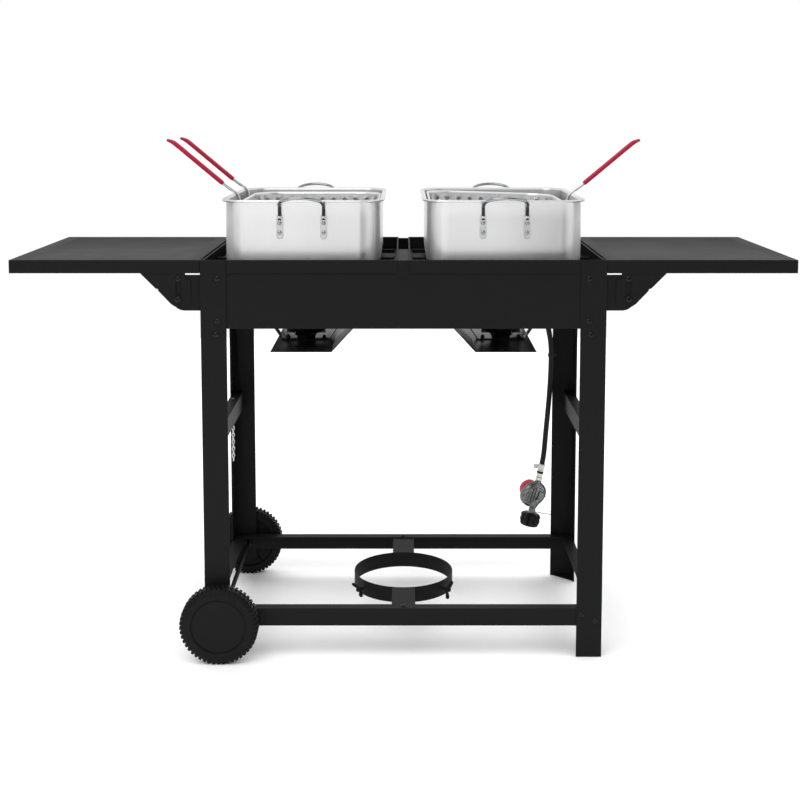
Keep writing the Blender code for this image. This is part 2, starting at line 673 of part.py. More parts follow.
def gas_manifold():
    """Supply pipe with its two valves, their stems to the rear, and the hose inlet."""
    pipe = rod("gas_manifold", (-VALVE_X - 0.012, MANIFOLD_Y, MANIFOLD_Z),
               (VALVE_X + 0.012, MANIFOLD_Y, MANIFOLD_Z), 0.008, CAST_IRON, 12)
    tools = []
    for side in (-1, 1):
        x = side * VALVE_X
        tools.append(rod("valve", (x, MANIFOLD_Y, MANIFOLD_Z), (x, MANIFOLD_Y, VALVE_Z - 0.009),
                         0.0095, BRASS, 12))
        tools.append(rod("stem", (x, MANIFOLD_Y, VALVE_Z), (x, MANIFOLD_Y + 0.026, VALVE_Z),
                         0.0040, BRASS, 12))
        tools.append(rod("spud", (x, MANIFOLD_Y, VALVE_Z), (x, MANIFOLD_Y - 0.020, VALVE_Z),
                         0.0045, BRASS, 12))
    first = Vector((HOSE_ROUTE[0][0], HOSE_Y, HOSE_ROUTE[0][1]))
    inlet_x = first.x - 0.030
    tools.append(rod("inlet", (inlet_x, MANIFOLD_Y + 0.003, MANIFOLD_Z),
                     (inlet_x, HOSE_Y - 0.007, first.z), 0.0070, BRASS, 12))
    tools.append(rod("nipple", (inlet_x - 0.004, HOSE_Y, first.z), (first.x - GAP, HOSE_Y, first.z),
                     0.0062, BRASS, 12))
    join(pipe, *tools)


def valve_knobs():
    for side, name in ((-1, "valve_knob_left"), (1, "valve_knob_right")):
        profile = [(0.0, 0.019), (0.013, 0.019), (0.0165, 0.016), (0.018, 0.003), (0.018, 0.0),
                   (0.0043, 0.0), (0.0043, 0.010), (0.0, 0.010)]
        knob = turned(name, profile, 24, RED_PLASTIC)
        knob.location = (side * VALVE_X, MANIFOLD_Y + 0.0175, VALVE_Z)
        knob.rotation_euler = (math.radians(-90), 0, 0)


def drop_point(distance, start):
    """A point down the regulator's leaning line, from the hose's end."""
    return start + Vector((-math.sin(DROP_LEAN), 0, -math.cos(DROP_LEAN))) * distance


def gas_hose():
    route = [(x, HOSE_Y, z) for x, z in HOSE_ROUTE]
    wire("gas_hose", smooth_route(route, 0.028), HOSE_R, HOSE_RUBBER, 2)


def regulator():
    end = Vector((HOSE_ROUTE[-1][0], HOSE_Y, HOSE_ROUTE[-1][1]))
    fitting = rod("hose_fitting", drop_point(GAP, end), drop_point(0.0185, end), 0.0068, BRASS)
    join(fitting, rod("barrel", drop_point(0.018, end), drop_point(0.042, end), 0.0060, BRASS))
    centre = drop_point(0.0755, end) + Vector((-0.0060, 0, 0))
    axis = Vector((-0.338, 0.899, 0.275)).normalized()
    profile = [(0.0, 0.015), (0.020, 0.015), (0.0245, 0.006), (0.0328, 0.003), (0.0330, -0.004),
               (0.0290, -0.011), (0.0150, -0.014), (0.0, -0.014)]
    body = turned("regulator_body", profile, 32, ZINC_CAST)
    body.location = centre
    body.rotation_mode = "QUATERNION"
    body.rotation_quaternion = axis.to_track_quat("Z", "Y")
    top = rod("top_boss", drop_point(0.0423, end), drop_point(0.068, end), 0.0085, ZINC_CAST)
    foot = rod("foot_boss", drop_point(0.082, end), drop_point(0.110, end), 0.0140, ZINC_CAST, 16,
               0.0085)
    neck = rod("neck", drop_point(0.105, end), drop_point(0.1225, end), 0.0074, ZINC_CAST)
    join(body, top, foot, neck)
    knob_profile = [(0.0, 0.018), (0.019, 0.018), (0.0225, 0.014), (0.0235, 0.002),
                    (0.0225, 0.0), (0.0, 0.0)]
    knob = turned("regulator_knob", knob_profile, 24, RED_PLASTIC)
    knob.location = centre + axis * (0.015 + GAP)
    knob.rotation_mode = "QUATERNION"
    knob.rotation_quaternion = axis.to_track_quat("Z", "Y")
    nut_profile = [(0.0, 0.0), (0.013, 0.0), (0.0215, -0.004), (0.0240, -0.009),
                   (0.0240, -0.022), (0.0215, -0.029), (0.0160, -0.030), (0.0160, -0.010),
                   (0.0, -0.010)]
    nut = turned("coupling_nut", nut_profile, 24, NUT_PLASTIC)
    nut.location = drop_point(0.1225 + GAP, end)
    nut.rotation_euler = (0, DROP_LEAN, 0)


# ---------------------------------------------------------------- pots and baskets
def pots():
    for side, name in ((-1, "pot_left"), (1, "pot_right")):
        x = side * POT_X
        pot = open_box(name, (x - POT_HALF_X, -POT_HALF_Y, POT_BOTTOM),
                       (x + POT_HALF_X, POT_HALF_Y, POT_TOP), POT_CORNER, 0.014, POT_WALL,
                       POT_LIP, ALUMINIUM)
        set_origin(pot, (x, 0, POT_BOTTOM))


def pot_handles():
    """Bent rod bails on two riveted plates, at each short wall."""
    half, bend_z, peak_z, out = 0.045, 0.940, 0.961, 0.040
    for side, x_name in ((-1, "left"), (1, "right")):
        for side_y, y_name in ((-1, "front"), (1, "rear")):
            x = side * POT_X
            wall = side_y * (POT_HALF_Y + GAP)
            path = []
            for i in range(17):
                t = math.pi * i / 16
                shape = math.sin(t) ** 0.6
                path.append((x - half * math.cos(t), wall + side_y * (0.0048 + out * shape),
                             bend_z + (peak_z - bend_z) * shape))
            feet = [(x + end, wall + side_y * 0.0044, 0.893) for end in (-half, half)]
            bail = wire(f"pot_handle_{y_name}_{x_name}", feet[:1] + path + feet[1:], 0.0034,
                        WIRE_STEEL, 1)
            for end in (-half, half):
                ys = sorted((wall, wall + side_y * 0.0022))
                plate = box("plate", (x + end - 0.0070, ys[0], 0.875),
                            (x + end + 0.0070, ys[1], 0.921), WIRE_STEEL)
                join(bail, plate)


def baskets():
    for side, name in ((-1, "basket_left"), (1, "basket_right")):
        x = side * (POT_X - BASKET_SHIFT)
        basket = open_box(name, (x - BASKET_HALF_X, -BASKET_HALF_Y, BASKET_BOTTOM),
                          (x + BASKET_HALF_X, BASKET_HALF_Y, BASKET_TOP), 0.055, 0.012, 0.0012,
                          0.003, ALUMINIUM)
        set_origin(basket, (x, 0, (BASKET_BOTTOM + BASKET_TOP) / 2))
        basket.rotation_euler = (0, BASKET_TILT[name], 0)


def basket_rods():
    """Wire handles beside the basket wall, bent out over the pot's rim, with grip sleeves."""
    for side, side_y, name in ((-1, -1, "basket_handle_left_front"),
                               (-1, 1, "basket_handle_left_rear"),
                               (1, -1, "basket_handle_right")):
        wall = POT_X - BASKET_SHIFT + BASKET_HALF_X
        knots = [(wall + 0.0050, 0.865), (wall + 0.0060, 0.905), (ROD_X, 0.945),
                 (ROD_X + 0.006, 0.9595), (ROD_X + 0.018, 0.9690), (0.384, 0.9810),
                 (0.440, 1.0280), (0.478, 1.0600), (0.490, 1.0690), (0.502, 1.0740)]
        route = [(side * x, side_y * ROD_Y, z) for x, z in knots]
        handle = wire(name, smooth_route(route, 0.016), ROD_R, WIRE_STEEL, 1)
        grip = wire("grip", smooth_route(route[5:], 0.030), SLEEVE_R, RED_VINYL, 2)
        join(handle, grip)


legs()
aprons()
end_panels()
centre_strip()
lower_rails()
middle_rails()
ring()
wing_screws()
axle()
wheels()
trays()
grates()
shelves()
shelf_hinges()
heat_shields()
burner_straps()
burners()
gas_manifold()
valve_knobs()
gas_hose()
regulator()
pots()
pot_handles()
baskets()
basket_rods()
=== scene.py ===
"""Looks for the outdoor fryer cart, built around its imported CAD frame.

Metres, in the CAD's own frame: X along the front, Y from front to rear, Z up, floor at 0.
"""

import json
import math

import bmesh
import bpy
from mathutils import Matrix, Vector


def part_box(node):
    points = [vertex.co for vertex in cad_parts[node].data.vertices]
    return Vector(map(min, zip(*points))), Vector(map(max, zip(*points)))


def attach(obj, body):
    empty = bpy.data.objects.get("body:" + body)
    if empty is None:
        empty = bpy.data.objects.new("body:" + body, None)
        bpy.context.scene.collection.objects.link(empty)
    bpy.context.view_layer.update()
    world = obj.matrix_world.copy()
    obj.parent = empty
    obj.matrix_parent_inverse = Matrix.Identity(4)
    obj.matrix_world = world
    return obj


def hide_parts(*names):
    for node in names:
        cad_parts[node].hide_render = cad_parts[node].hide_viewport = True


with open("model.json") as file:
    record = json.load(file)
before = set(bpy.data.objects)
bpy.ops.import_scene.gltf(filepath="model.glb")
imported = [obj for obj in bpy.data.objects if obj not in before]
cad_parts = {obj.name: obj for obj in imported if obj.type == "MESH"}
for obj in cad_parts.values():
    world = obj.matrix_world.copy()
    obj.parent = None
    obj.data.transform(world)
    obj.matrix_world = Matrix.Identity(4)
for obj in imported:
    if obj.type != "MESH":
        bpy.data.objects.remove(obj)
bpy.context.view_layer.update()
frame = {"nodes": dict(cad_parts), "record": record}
NODES = frame["nodes"]
BODY_OF = {node: body for body, nodes in frame["record"]["behaviour"]["bodies"].items()
           for node in nodes}
SIDES = ((-1, "left"), (1, "right"))
ENDS = ((-1, "front"), (1, "rear"))

# Places repeated from the CAD.
FRAME_X, FRAME_Y = 0.413, 0.235
PIVOT_X, PIVOT_Z = 0.4573, 0.755
ARM_FACE_Y = 0.2321
BURNER_X, SHIELD_Z = 0.216, 0.631
VALVE_X, MANIFOLD_Y, MANIFOLD_Z, VALVE_Z = 0.305, 0.205, 0.7, 0.652
RING_R, WING_Z, WING_ANGLE = 0.1107, 0.084, math.radians(52)
WHEEL_X, WHEEL_R, WHEEL_INNER_Y, WHEEL_OUTER_Y = -0.38, 0.081, 0.2385, 0.278
POT_X, POT_HALF_X, POT_HALF_Y, POT_CORNER = 0.208, 0.1605, 0.201, 0.045
POT_BOTTOM = 0.8228
BASKET_X, BASKET_HALF_X, BASKET_HALF_Y = 0.198, 0.143, 0.187
BASKET_CORNER, BASKET_BOTTOM, BASKET_TOP = 0.055, 0.835, 0.945
ROD_X, ROD_Y = 0.35, 0.082
HOSE_R, HOSE_Y, DROP_LEAN = 0.00625, 0.185, math.radians(11.5)
HOSE_ROUTE = [
    (0.2353, 0.703), (0.26, 0.7045), (0.285, 0.7), (0.31, 0.685), (0.33, 0.66),
    (0.3425, 0.625), (0.35, 0.58), (0.3505, 0.53), (0.3485, 0.48), (0.345, 0.43),
    (0.34, 0.37), (0.336, 0.32), (0.332, 0.294),
]

RIGHT_BASKET_TILT = math.radians(1.8)

# Sizes of what the visual adds.
SHELF_BORDER, SHELF_SHEET, EMBOSS = 0.029, 0.0012, 0.0004
TREAD_LUMPS, TREAD_FLOOR_R, WHEEL_RIBS = 50, 0.0778, 6
# The last of these is the top of the painted shade inside the pots.
POT_SHEET, POT_FOOT_R, POT_SHADE_TOP_Z = 0.0015, 0.008, 0.936
# The last of these is where the painted shade on the bail legs stops.
BAIL_HALF, BAIL_WIRE_R, BAIL_SHADE_TOP_Z = 0.045, 0.0034, 0.95
PLATE_LOW, PLATE_TOP, PLATE_HALF, RIVET_Z = 0.875, 0.9225, 0.007, (0.9076, 0.8884)
HOLE_COLUMNS, HOLE_ROWS, HOLE_R, FLOOR_PITCH, HOLE_BAND_TOP = 47, 3, 0.005, 0.026, 0.941
BASKET_SHEET, BASKET_FOOT_R, BURNER_RIBS = 0.0012, 0.012, 6
CHAIN_TOP, CHAIN_LINKS, CHAIN_PITCH = (-0.402, 0.15, 0.4555), 18, 0.0082

# Camera and studio. The tones run across the tent in front, from its left (-1) to its right (1).
CAMERA_SPOT, CAMERA_PITCH = (0, -2.79, 1.142), 5.76
CAMERA_LENS, SENSOR_WIDTH, CAMERA_SHIFT = 57.2, 36.0, (-0.0043, -0.205)
FLOOR_R, PLAIN_TONE, ROOF_FROM_Z, BACK_FROM_Y = 3.6, 0.9, (0.45, 0.75), (-0.2, 0.1)
TENT_TONES = [
    (-1.0, 0.8), (-0.7, 0.55), (-0.45, 0.8), (-0.16, 0.68), (-0.085, 1.04), (-0.055, 0.8),
    (-0.025, 0.3), (0.015, 0.66), (0.035, 1.02), (0.075, 1.1), (0.115, 0.5), (0.16, 0.12),
    (0.22, 0.04), (0.4, 0.05), (0.6, 0.4), (0.78, 0.7), (0.92, 0.8), (1.0, 0.8),
]


# ---------------------------------------------------------------- camera, light and floor
def linked(name, data):
    """A new object, linked into the scene."""
    obj = bpy.data.objects.new(name, data)
    bpy.context.scene.collection.objects.link(obj)
    return obj


def grey(tone):
    return (tone, tone, tone, 1.0)


def map_range(tree, source, span, onto=(0.0, 1.0)):
    """The source's value, stretched from one span onto another."""
    node = tree.nodes.new("ShaderNodeMapRange")
    for socket, value in zip(("From Min", "From Max", "To Min", "To Max"), (*span, *onto)):
        node.inputs[socket].default_value = value
    tree.links.new(source, node.inputs["Value"])
    return node.outputs["Result"]


def camera():
    data = bpy.data.cameras.new("camera")
    data.lens, data.sensor_width = CAMERA_LENS, SENSOR_WIDTH
    data.shift_x, data.shift_y = CAMERA_SHIFT
    data.clip_end = 100
    obj = linked("camera", data)
    obj.location = CAMERA_SPOT
    obj.rotation_euler = (math.radians(90 - CAMERA_PITCH), 0, 0)
    bpy.context.scene.camera = obj


def lights():
    """A large soft lamp at the front left, and an even glow from above."""
    data = bpy.data.lights.new("key_light", "AREA")
    data.shape = "RECTANGLE"
    data.size, data.size_y, data.energy = 2.4, 2.4, 30
    obj = linked("key_light", data)
    obj.location = (-1.2, -2.2, 3.2)
    aim = Vector((0, 0, 0.6)) - Vector(obj.location)
    obj.rotation_euler = aim.to_track_quat("-Z", "Y").to_euler()
    data = bpy.data.lights.new("overhead_glow", "SUN")
    data.energy, data.angle = 2.2, math.radians(120)
    linked("overhead_glow", data).visible_glossy = False


def studio():
    """A white tent with darker gaps in it, seen as plain white by the camera itself."""
    world = bpy.data.worlds.new("studio")
    world.use_nodes = True
    bpy.context.scene.world = world
    tree = world.node_tree
    tree.nodes.clear()
    coord = tree.nodes.new("ShaderNodeTexCoord")
    split = tree.nodes.new("ShaderNodeSeparateXYZ")
    tree.links.new(coord.outputs["Generated"], split.inputs[0])
    bands = tree.nodes.new("ShaderNodeValToRGB")
    stops = bands.color_ramp.elements
    while len(stops) < len(TENT_TONES):
        stops.new(0.5)
    for stop, (at, tone) in zip(stops, TENT_TONES):
        stop.position, stop.color = (at + 1) / 2, grey(tone)
    tree.links.new(map_range(tree, split.outputs["X"], (-1.0, 1.0)), bands.inputs[0])
    plain = tree.nodes.new("ShaderNodeMath")
    plain.operation = "MAXIMUM"
    tree.links.new(map_range(tree, split.outputs["Z"], ROOF_FROM_Z), plain.inputs[0])
    tree.links.new(map_range(tree, split.outputs["Y"], BACK_FROM_Y), plain.inputs[1])
    mix = tree.nodes.new("ShaderNodeMix")
    mix.data_type = "RGBA"
    mix.inputs["B"].default_value = grey(PLAIN_TONE)
    tree.links.new(plain.outputs[0], mix.inputs["Factor"])
    tree.links.new(bands.outputs["Color"], mix.inputs["A"])
    lit = tree.nodes.new("ShaderNodeBackground")
    tree.links.new(mix.outputs["Result"], lit.inputs["Color"])
    seen = tree.nodes.new("ShaderNodeBackground")
    seen.inputs["Color"].default_value = grey(1.0)
    path = tree.nodes.new("ShaderNodeLightPath")
    choose = tree.nodes.new("ShaderNodeMixShader")
    out = tree.nodes.new("ShaderNodeOutputWorld")
    for source, socket in ((path.outputs["Is Camera Ray"], choose.inputs[0]),
                           (lit.outputs[0], choose.inputs[1]), (seen.outputs[0], choose.inputs[2]),
                           (choose.outputs[0], out.inputs["Surface"])):
        tree.links.new(source, socket)


def floor():
    bm = bmesh.new()
    bmesh.ops.create_circle(bm, cap_ends=True, segments=96, radius=FLOOR_R)
    mesh = bpy.data.meshes.new("floor")
    bm.to_mesh(mesh)
    bm.free()
    obj = linked("floor", mesh)
    mesh.materials.append(surface("pale_floor", (0.93, 0.93, 0.93), 0.9, specular=0.1))


# ---------------------------------------------------------------- materials
def noise(tree, mapping, scale, detail):
    node = tree.nodes.new("ShaderNodeTexNoise")
    node.inputs["Scale"].default_value = scale
    node.inputs["Detail"].default_value = detail
    tree.links.new(mapping.outputs[0], node.inputs["Vector"])
    return node.outputs["Fac"]


def surface(name, colour, roughness, metallic=0.0, specular=0.5, grain=None, mottle=None,
            stretch=(1, 1, 1), brushed=0.0):
    """A shader with fine grain (scale, depth) and slow variation (scale, colour, gloss)."""
    material = bpy.data.materials.new(name)
    material.use_nodes = True
    tree = material.node_tree
    shader = tree.nodes["Principled BSDF"]
    for socket, value in (("Base Color", (*colour, 1.0)), ("Roughness", roughness),
                          ("Metallic", metallic), ("Specular IOR Level", specular),
                          ("Anisotropic", brushed),
                          ("Anisotropic Rotation", 0.25 if brushed else 0.0)):
        shader.inputs[socket].default_value = value
    coord = tree.nodes.new("ShaderNodeTexCoord")
    mapping = tree.nodes.new("ShaderNodeMapping")
    mapping.inputs["Scale"].default_value = stretch
    tree.links.new(coord.outputs["Object"], mapping.inputs["Vector"])
    if grain:
        scale, depth = grain
        bump = tree.nodes.new("ShaderNodeBump")
        bump.inputs["Strength"].default_value = 0.6
        bump.inputs["Distance"].default_value = depth
        tree.links.new(noise(tree, mapping, scale, 3.0), bump.inputs["Height"])
        tree.links.new(bump.outputs[0], shader.inputs["Normal"])
    if mottle:
        scale, tint, gloss = mottle
        spots = noise(tree, mapping, scale, 4.0)
        glosses = max(0.02, roughness - gloss), min(1.0, roughness + gloss)
        tree.links.new(map_range(tree, spots, (0.3, 0.7), glosses), shader.inputs["Roughness"])
        mix = tree.nodes.new("ShaderNodeMix")
        mix.data_type = "RGBA"
        for socket, level in (("A", 1 - tint), ("B", 1 + tint)):
            mix.inputs[socket].default_value = (*(min(1.0, c * level) for c in colour), 1.0)
        tree.links.new(spots, mix.inputs["Factor"])
        tree.links.new(mix.outputs["Result"], shader.inputs["Base Color"])
    return material


MATERIALS = {
    "black_coat": surface("powder_coat", (0.007, 0.007, 0.0072), 0.52, specular=0.11,
                          grain=(900, 0.00004), mottle=(14, 0.08, 0.02)),
    "aluminium": surface("brushed_aluminium", (0.745, 0.745, 0.75), 0.31, metallic=0.84,
                         grain=(30, 0.0000008), mottle=(10, 0.015, 0.03), stretch=(16, 16, 1),
                         brushed=0.85),
    "wire_steel": surface("bright_steel", (0.62, 0.63, 0.64), 0.2, metallic=1.0,
                          grain=(300, 0.00002), mottle=(60, 0.06, 0.05)),
    "cast_iron": surface("cast_iron", (0.075, 0.075, 0.078), 0.36, metallic=0.8,
                         grain=(500, 0.0003), mottle=(60, 0.25, 0.1)),
    "wheel_plastic": surface("wheel_plastic", (0.0055, 0.0055, 0.0057), 0.5, specular=0.12,
                             grain=(1100, 0.00006), mottle=(40, 0.12, 0.06)),
    "hose_rubber": surface("hose_rubber", (0.008, 0.008, 0.009), 0.5, specular=0.2,
                           grain=(700, 0.00008), mottle=(50, 0.15, 0.06)),
    "plated_brass": surface("plated_brass", (0.6, 0.58, 0.53), 0.28, metallic=1.0,
                            grain=(400, 0.00004), mottle=(90, 0.08, 0.08)),
    "zinc_casting": surface("zinc_casting", (0.21, 0.213, 0.216), 0.26, metallic=1.0,
                            grain=(900, 0.000015), mottle=(90, 0.08, 0.04)),
    "red_plastic": surface("red_plastic", (0.5, 0.005, 0.03), 0.34, specular=0.28,
                           grain=(700, 0.00004), mottle=(80, 0.1, 0.05)),
    "red_vinyl": surface("red_vinyl", (0.35, 0.005, 0.034), 0.36, specular=0.3,
                         grain=(800, 0.00005), mottle=(60, 0.1, 0.06)),
    "nut_plastic": surface("nut_plastic", (0.004, 0.004, 0.0042), 0.34, specular=0.22,
                           grain=(900, 0.00008), mottle=(70, 0.15, 0.08)),
    "tag": surface("blank_white_plastic", (0.72, 0.72, 0.7), 0.5, specular=0.4,
                   grain=(400, 0.00005), mottle=(60, 0.04, 0.05)),
    "screw_black": surface("blackened_screw", (0.022, 0.022, 0.023), 0.18, metallic=0.9,
                           grain=(500, 0.00003), mottle=(120, 0.15, 0.05)),
    "shield_coat": surface("satin_coat", (0.016, 0.016, 0.0162), 0.36, specular=0.5,
                           grain=(600, 0.00004), mottle=(18, 0.06, 0.02)),
    "bail_chrome": surface("polished_bail", (0.36, 0.365, 0.37), 0.12, metallic=1.0,
                           grain=(200, 0.00001), mottle=(50, 0.05, 0.04)),
    "handle_plate": surface("handle_plate", (0.7, 0.7, 0.71), 0.34, metallic=1.0,
                            grain=(300, 0.00002), mottle=(80, 0.06, 0.05)),
    "basket_sheet": surface("basket_sheet", (0.8, 0.8, 0.805), 0.3, metallic=0.85,
                            grain=(200, 0.000004), mottle=(30, 0.03, 0.04)),
    # Darker aluminium laid on the pots' inner faces below the rim: painted shade.
    "pot_inside": surface("aluminium_painted_shade", (0.52, 0.52, 0.525), 0.42, metallic=0.85,
                          grain=(120, 0.000006), mottle=(30, 0.08, 0.06)),
    # Darker steel for the lower legs of the bails: painted shade standing in for the dark reflections on
    # the legs.
    "bail_foot": surface("bail_foot", (0.05, 0.05, 0.052), 0.3, metallic=0.9,
                         grain=(300, 0.00001), mottle=(60, 0.1, 0.05)),
}


# ---------------------------------------------------------------- mesh building
def piece(name, bm, slot, body, smooth=35, material=None, weld=0.000005):
    """Makes the mesh a piece of the object, riding on a body."""
    if weld:
        bmesh.ops.remove_doubles(bm, verts=bm.verts, dist=weld)
    bmesh.ops.recalc_face_normals(bm, faces=bm.faces)
    mesh = bpy.data.meshes.new(name)
    bm.to_mesh(mesh)
    bm.free()
    mesh.shade_smooth()
    mesh.set_sharp_from_angle(angle=math.radians(smooth))
    mesh.materials.append(material or MATERIALS[slot])
    obj = linked(name, mesh)
    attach(obj, body)
    return obj


def stand_in(name, bm, slot, node, smooth=35, material=None, weld=0.000005):
    """A piece on a CAD node's body that is shown instead of the node."""
    obj = piece(name, bm, slot, BODY_OF[node], smooth, material, weld)
    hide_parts(node)
    return obj


def bevel(obj, width, segments=2):
    """Rounds the edges that turn by more than 30 degrees."""
    modifier = obj.modifiers.new("rounded_edges", "BEVEL")
    modifier.width = width
    modifier.segments = segments
    modifier.limit_method = "ANGLE"
    modifier.angle_limit = math.radians(30)
    modifier.harden_normals = True


def thicken(obj, thickness):
    """Gives a surface the thickness of its sheet, inwards."""
    modifier = obj.modifiers.new("sheet", "SOLIDIFY")
    modifier.thickness = thickness
    modifier.offset = -1.0
    return modifier


def loft(bm, rings, caps=(True, True), cyclic=True):
    """Skins the rings of points in turn; a ring of one point closes to a tip."""
    made = [[bm.verts.new(p) for p in ring] for ring in rings]
    for low, high in zip(made, made[1:]):
        count = max(len(low), len(high))
        for i in range(count if cyclic else count - 1):
            j = (i + 1) % count
            corners = [low[i % len(low)], low[j % len(low)],
                       high[j % len(high)], high[i % len(high)]]
            unique = list(dict.fromkeys(corners))
            if len(unique) > 2:
                bm.faces.new(unique)
    for ring, wanted in ((made[0], caps[0]), (made[-1], caps[1])):
        if wanted and len(ring) > 2:
            bm.faces.new(ring)
    return made


def circle(radius, z, steps=32, lobes=0, depth=0.0, power=1.0):
    """A ring about Z, with shallow lobes where asked."""
    if radius == 0:
        return [(0, 0, z)]
    ring = []
    for i in range(steps):
        a = 2 * math.pi * i / steps
        wave = abs(math.cos(lobes * a / 2)) ** power if lobes else 1.0
        r = radius - depth * (1 - wave)
        ring.append((r * math.cos(a), r * math.sin(a), z))
    return ring


def rounded_rect(half_x, half_y, corner, z, steps):
    ring = []
    for cx, cy, start in ((1, 1, 0), (-1, 1, 90), (-1, -1, 180), (1, -1, 270)):
        for i in range(steps + 1):
            a = math.radians(start + 90 * i / steps)
            ring.append((cx * (half_x - corner) + corner * math.cos(a),
                         cy * (half_y - corner) + corner * math.sin(a), z))
    return ring


def lathe(profile, steps=32, bm=None):
    """A turned shape about Z, through (radius, z) points."""
    bm = bm or bmesh.new()
    caps = profile[0][0] > 0, profile[-1][0] > 0
    loft(bm, [circle(r, z, steps) for r, z in profile], caps)
    return bm


def hexagon(rings):
    """A six-sided solid through (radius, z) rings."""
    bm = bmesh.new()
    loft(bm, [circle(r, z, 6) for r, z in rings])
    return bm


def along(direction, spot=(0, 0, 0)):
    """Turns +Z to the direction and moves the origin to the spot."""
    turn = Vector(direction).to_track_quat("Z", "Y").to_matrix().to_4x4()
    return Matrix.Translation(Vector(spot)) @ turn


def add(target, source, place=Matrix.Identity(4)):
    """Adds a placed copy of the source bmesh to the target."""
    mesh = bpy.data.meshes.new("copy")
    source.to_mesh(mesh)
    mesh.transform(place)
    if place.determinant() < 0:
        mesh.flip_normals()
    target.from_mesh(mesh)
    bpy.data.meshes.remove(mesh)
    return target


def tube(points, radius, sides=12, bm=None, caps=(True, True)):
    """A round rod through the points; radius is a number or one (wide, thick) pair per point."""
    bm = bm or bmesh.new()
    points = [Vector(p) for p in points]
    sizes = radius if isinstance(radius, list) else [(radius, radius)] * len(points)
    up = None
    rings = []
    for i, point in enumerate(points):
        ahead = (points[min(i + 1, len(points) - 1)] - points[max(i - 1, 0)]).normalized()
        if up is None:
            up = Vector((0, 1, 0)) if abs(ahead.y) < 0.9 else Vector((0, 0, 1))
        side = ahead.cross(up).normalized()
        up = side.cross(ahead).normalized()
        wide, thick = sizes[i]
        rings.append([point + up * wide * math.cos(2 * math.pi * k / sides)
                      + side * thick * math.sin(2 * math.pi * k / sides) for k in range(sides)])
    loft(bm, rings, caps)
    return bm


def block(low, high, bm=None):
    bm = bm or bmesh.new()
    low, high = Vector(low), Vector(high)
    place = Matrix.Translation((low + high) / 2) @ Matrix.Diagonal((*(high - low), 1.0))
    bmesh.ops.create_cube(bm, size=1.0, matrix=place)
    return bm


def smooth_route(points, spacing):
    """Evenly spaced points on a smooth curve through the given points."""
    knots = [Vector(p) for p in points]
    ends = [knots[0] * 2 - knots[1]] + knots + [knots[-1] * 2 - knots[-2]]
    fine = []
    for before, a, b, after in zip(ends, ends[1:], ends[2:], ends[3:]):
        for i in range(20):
            t = i / 20
            fine.append(0.5 * ((2 * a) + (b - before) * t
                               + (2 * before - 5 * a + 4 * b - after) * t * t
                               + (3 * a - before - 3 * b + after) * t ** 3))
    fine.append(knots[-1])
    lengths = [0.0]
    for a, b in zip(fine, fine[1:]):
        lengths.append(lengths[-1] + (b - a).length)
    count = max(2, round(lengths[-1] / spacing))
    even, at = [], 0
    for i in range(count + 1):
        want = lengths[-1] * i / count
        while at < len(fine) - 2 and lengths[at + 1] < want:
            at += 1
        step = (want - lengths[at]) / (lengths[at + 1] - lengths[at])
        even.append(fine[at].lerp(fine[at + 1], step))
    return even


def sheet_metal(node, width):
    """The CAD sheet with its edges broken, standing for the node."""
    bm = bmesh.new()
    bm.from_mesh(NODES[node].data)
    bmesh.ops.remove_doubles(bm, verts=bm.verts, dist=0.000002)
    bmesh.ops.dissolve_limit(bm, angle_limit=math.radians(0.5), verts=bm.verts, edges=bm.edges)
    look = "shield_coat" if node.startswith(("heat_shield", "burner_strap")) else "black_coat"
    bevel(stand_in(node + "_sheet", bm, "black_coat", node, material=MATERIALS[look]), width)


# ---------------------------------------------------------------- hose and regulator
def drop_point(distance):
    """A point on the straight hanging line, at a distance below the hose's end."""
    x, z = HOSE_ROUTE[-1]
    lean = Vector((-math.sin(DROP_LEAN), 0, -math.cos(DROP_LEAN)))
    return Vector((x, HOSE_Y, z)) + lean * distance


def hung(distance):
    """Turns +Z up the hanging line and moves the origin to a distance below the hose's end."""
    return along(drop_point(0) - drop_point(1), drop_point(distance))


def hose_centreline():
    return smooth_route([(x, HOSE_Y, z) for x, z in HOSE_ROUTE], 0.006)


def gas_hose():
    """The rubber hose, with its length."""
    route = hose_centreline()
    data = bpy.data.curves.new("rubber_hose", "CURVE")
    data.dimensions = "3D"
    data.bevel_depth = HOSE_R
    data.bevel_resolution = 6
    data.use_fill_caps = True
    spline = data.splines.new("POLY")
    spline.points.add(len(route) - 1)
    for spot, point in zip(spline.points, route):
        spot.co = (*point, 1.0)
    spline.use_smooth = True
    data.materials.append(MATERIALS["hose_rubber"])
    hose = linked("rubber_hose", data)
    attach(hose, BODY_OF["gas_hose"])
    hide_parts("gas_hose")
    length = sum((b - a).length for a, b in zip(route, route[1:]))
    return hose, length


def ferrule():
    """Crimped ferrule, fitting barrel with its hexagon, and the black seal between them."""
    metal = bmesh.new()
    collar = [(0, -0.0003), (0.0062, -0.0003)]
    for top, low in ((-0.0012, -0.0045), (-0.0082, -0.0115), (-0.0152, -0.0178)):
        collar += [(0.0072, top), (0.0072, low), (0.0066, low - 0.0007), (0.0066, low - 0.003)]
    collar[-2:] = [(0.006, -0.0185), (0, -0.0185)]
    add(metal, lathe(collar), hung(0))
    barrel = [(0, -0.0235), (0.00708, -0.0235), (0.00708, -0.031), (0.006136, -0.0318),
              (0.006136, -0.0335), (0.007788, -0.034), (0.0078, -0.04), (0, -0.042)]
    add(metal, lathe(barrel), hung(0))
    add(metal, hexagon([(0.007, -0.0325), (0.0078, -0.0332), (0.0078, -0.0392), (0.007, -0.04)]), hung(0))
    fitting = stand_in("hose_ferrule", metal, "plated_brass", "hose_fitting", 40)
    ring = lathe([(0, -0.018), (0.0072, -0.0184), (0.0078, -0.0196), (0.0078, -0.0226),
                  (0.007, -0.0238), (0, -0.024)])
    ring.transform(hung(0))
    return [fitting, piece("ferrule_seal", ring, "hose_rubber", "frame")]


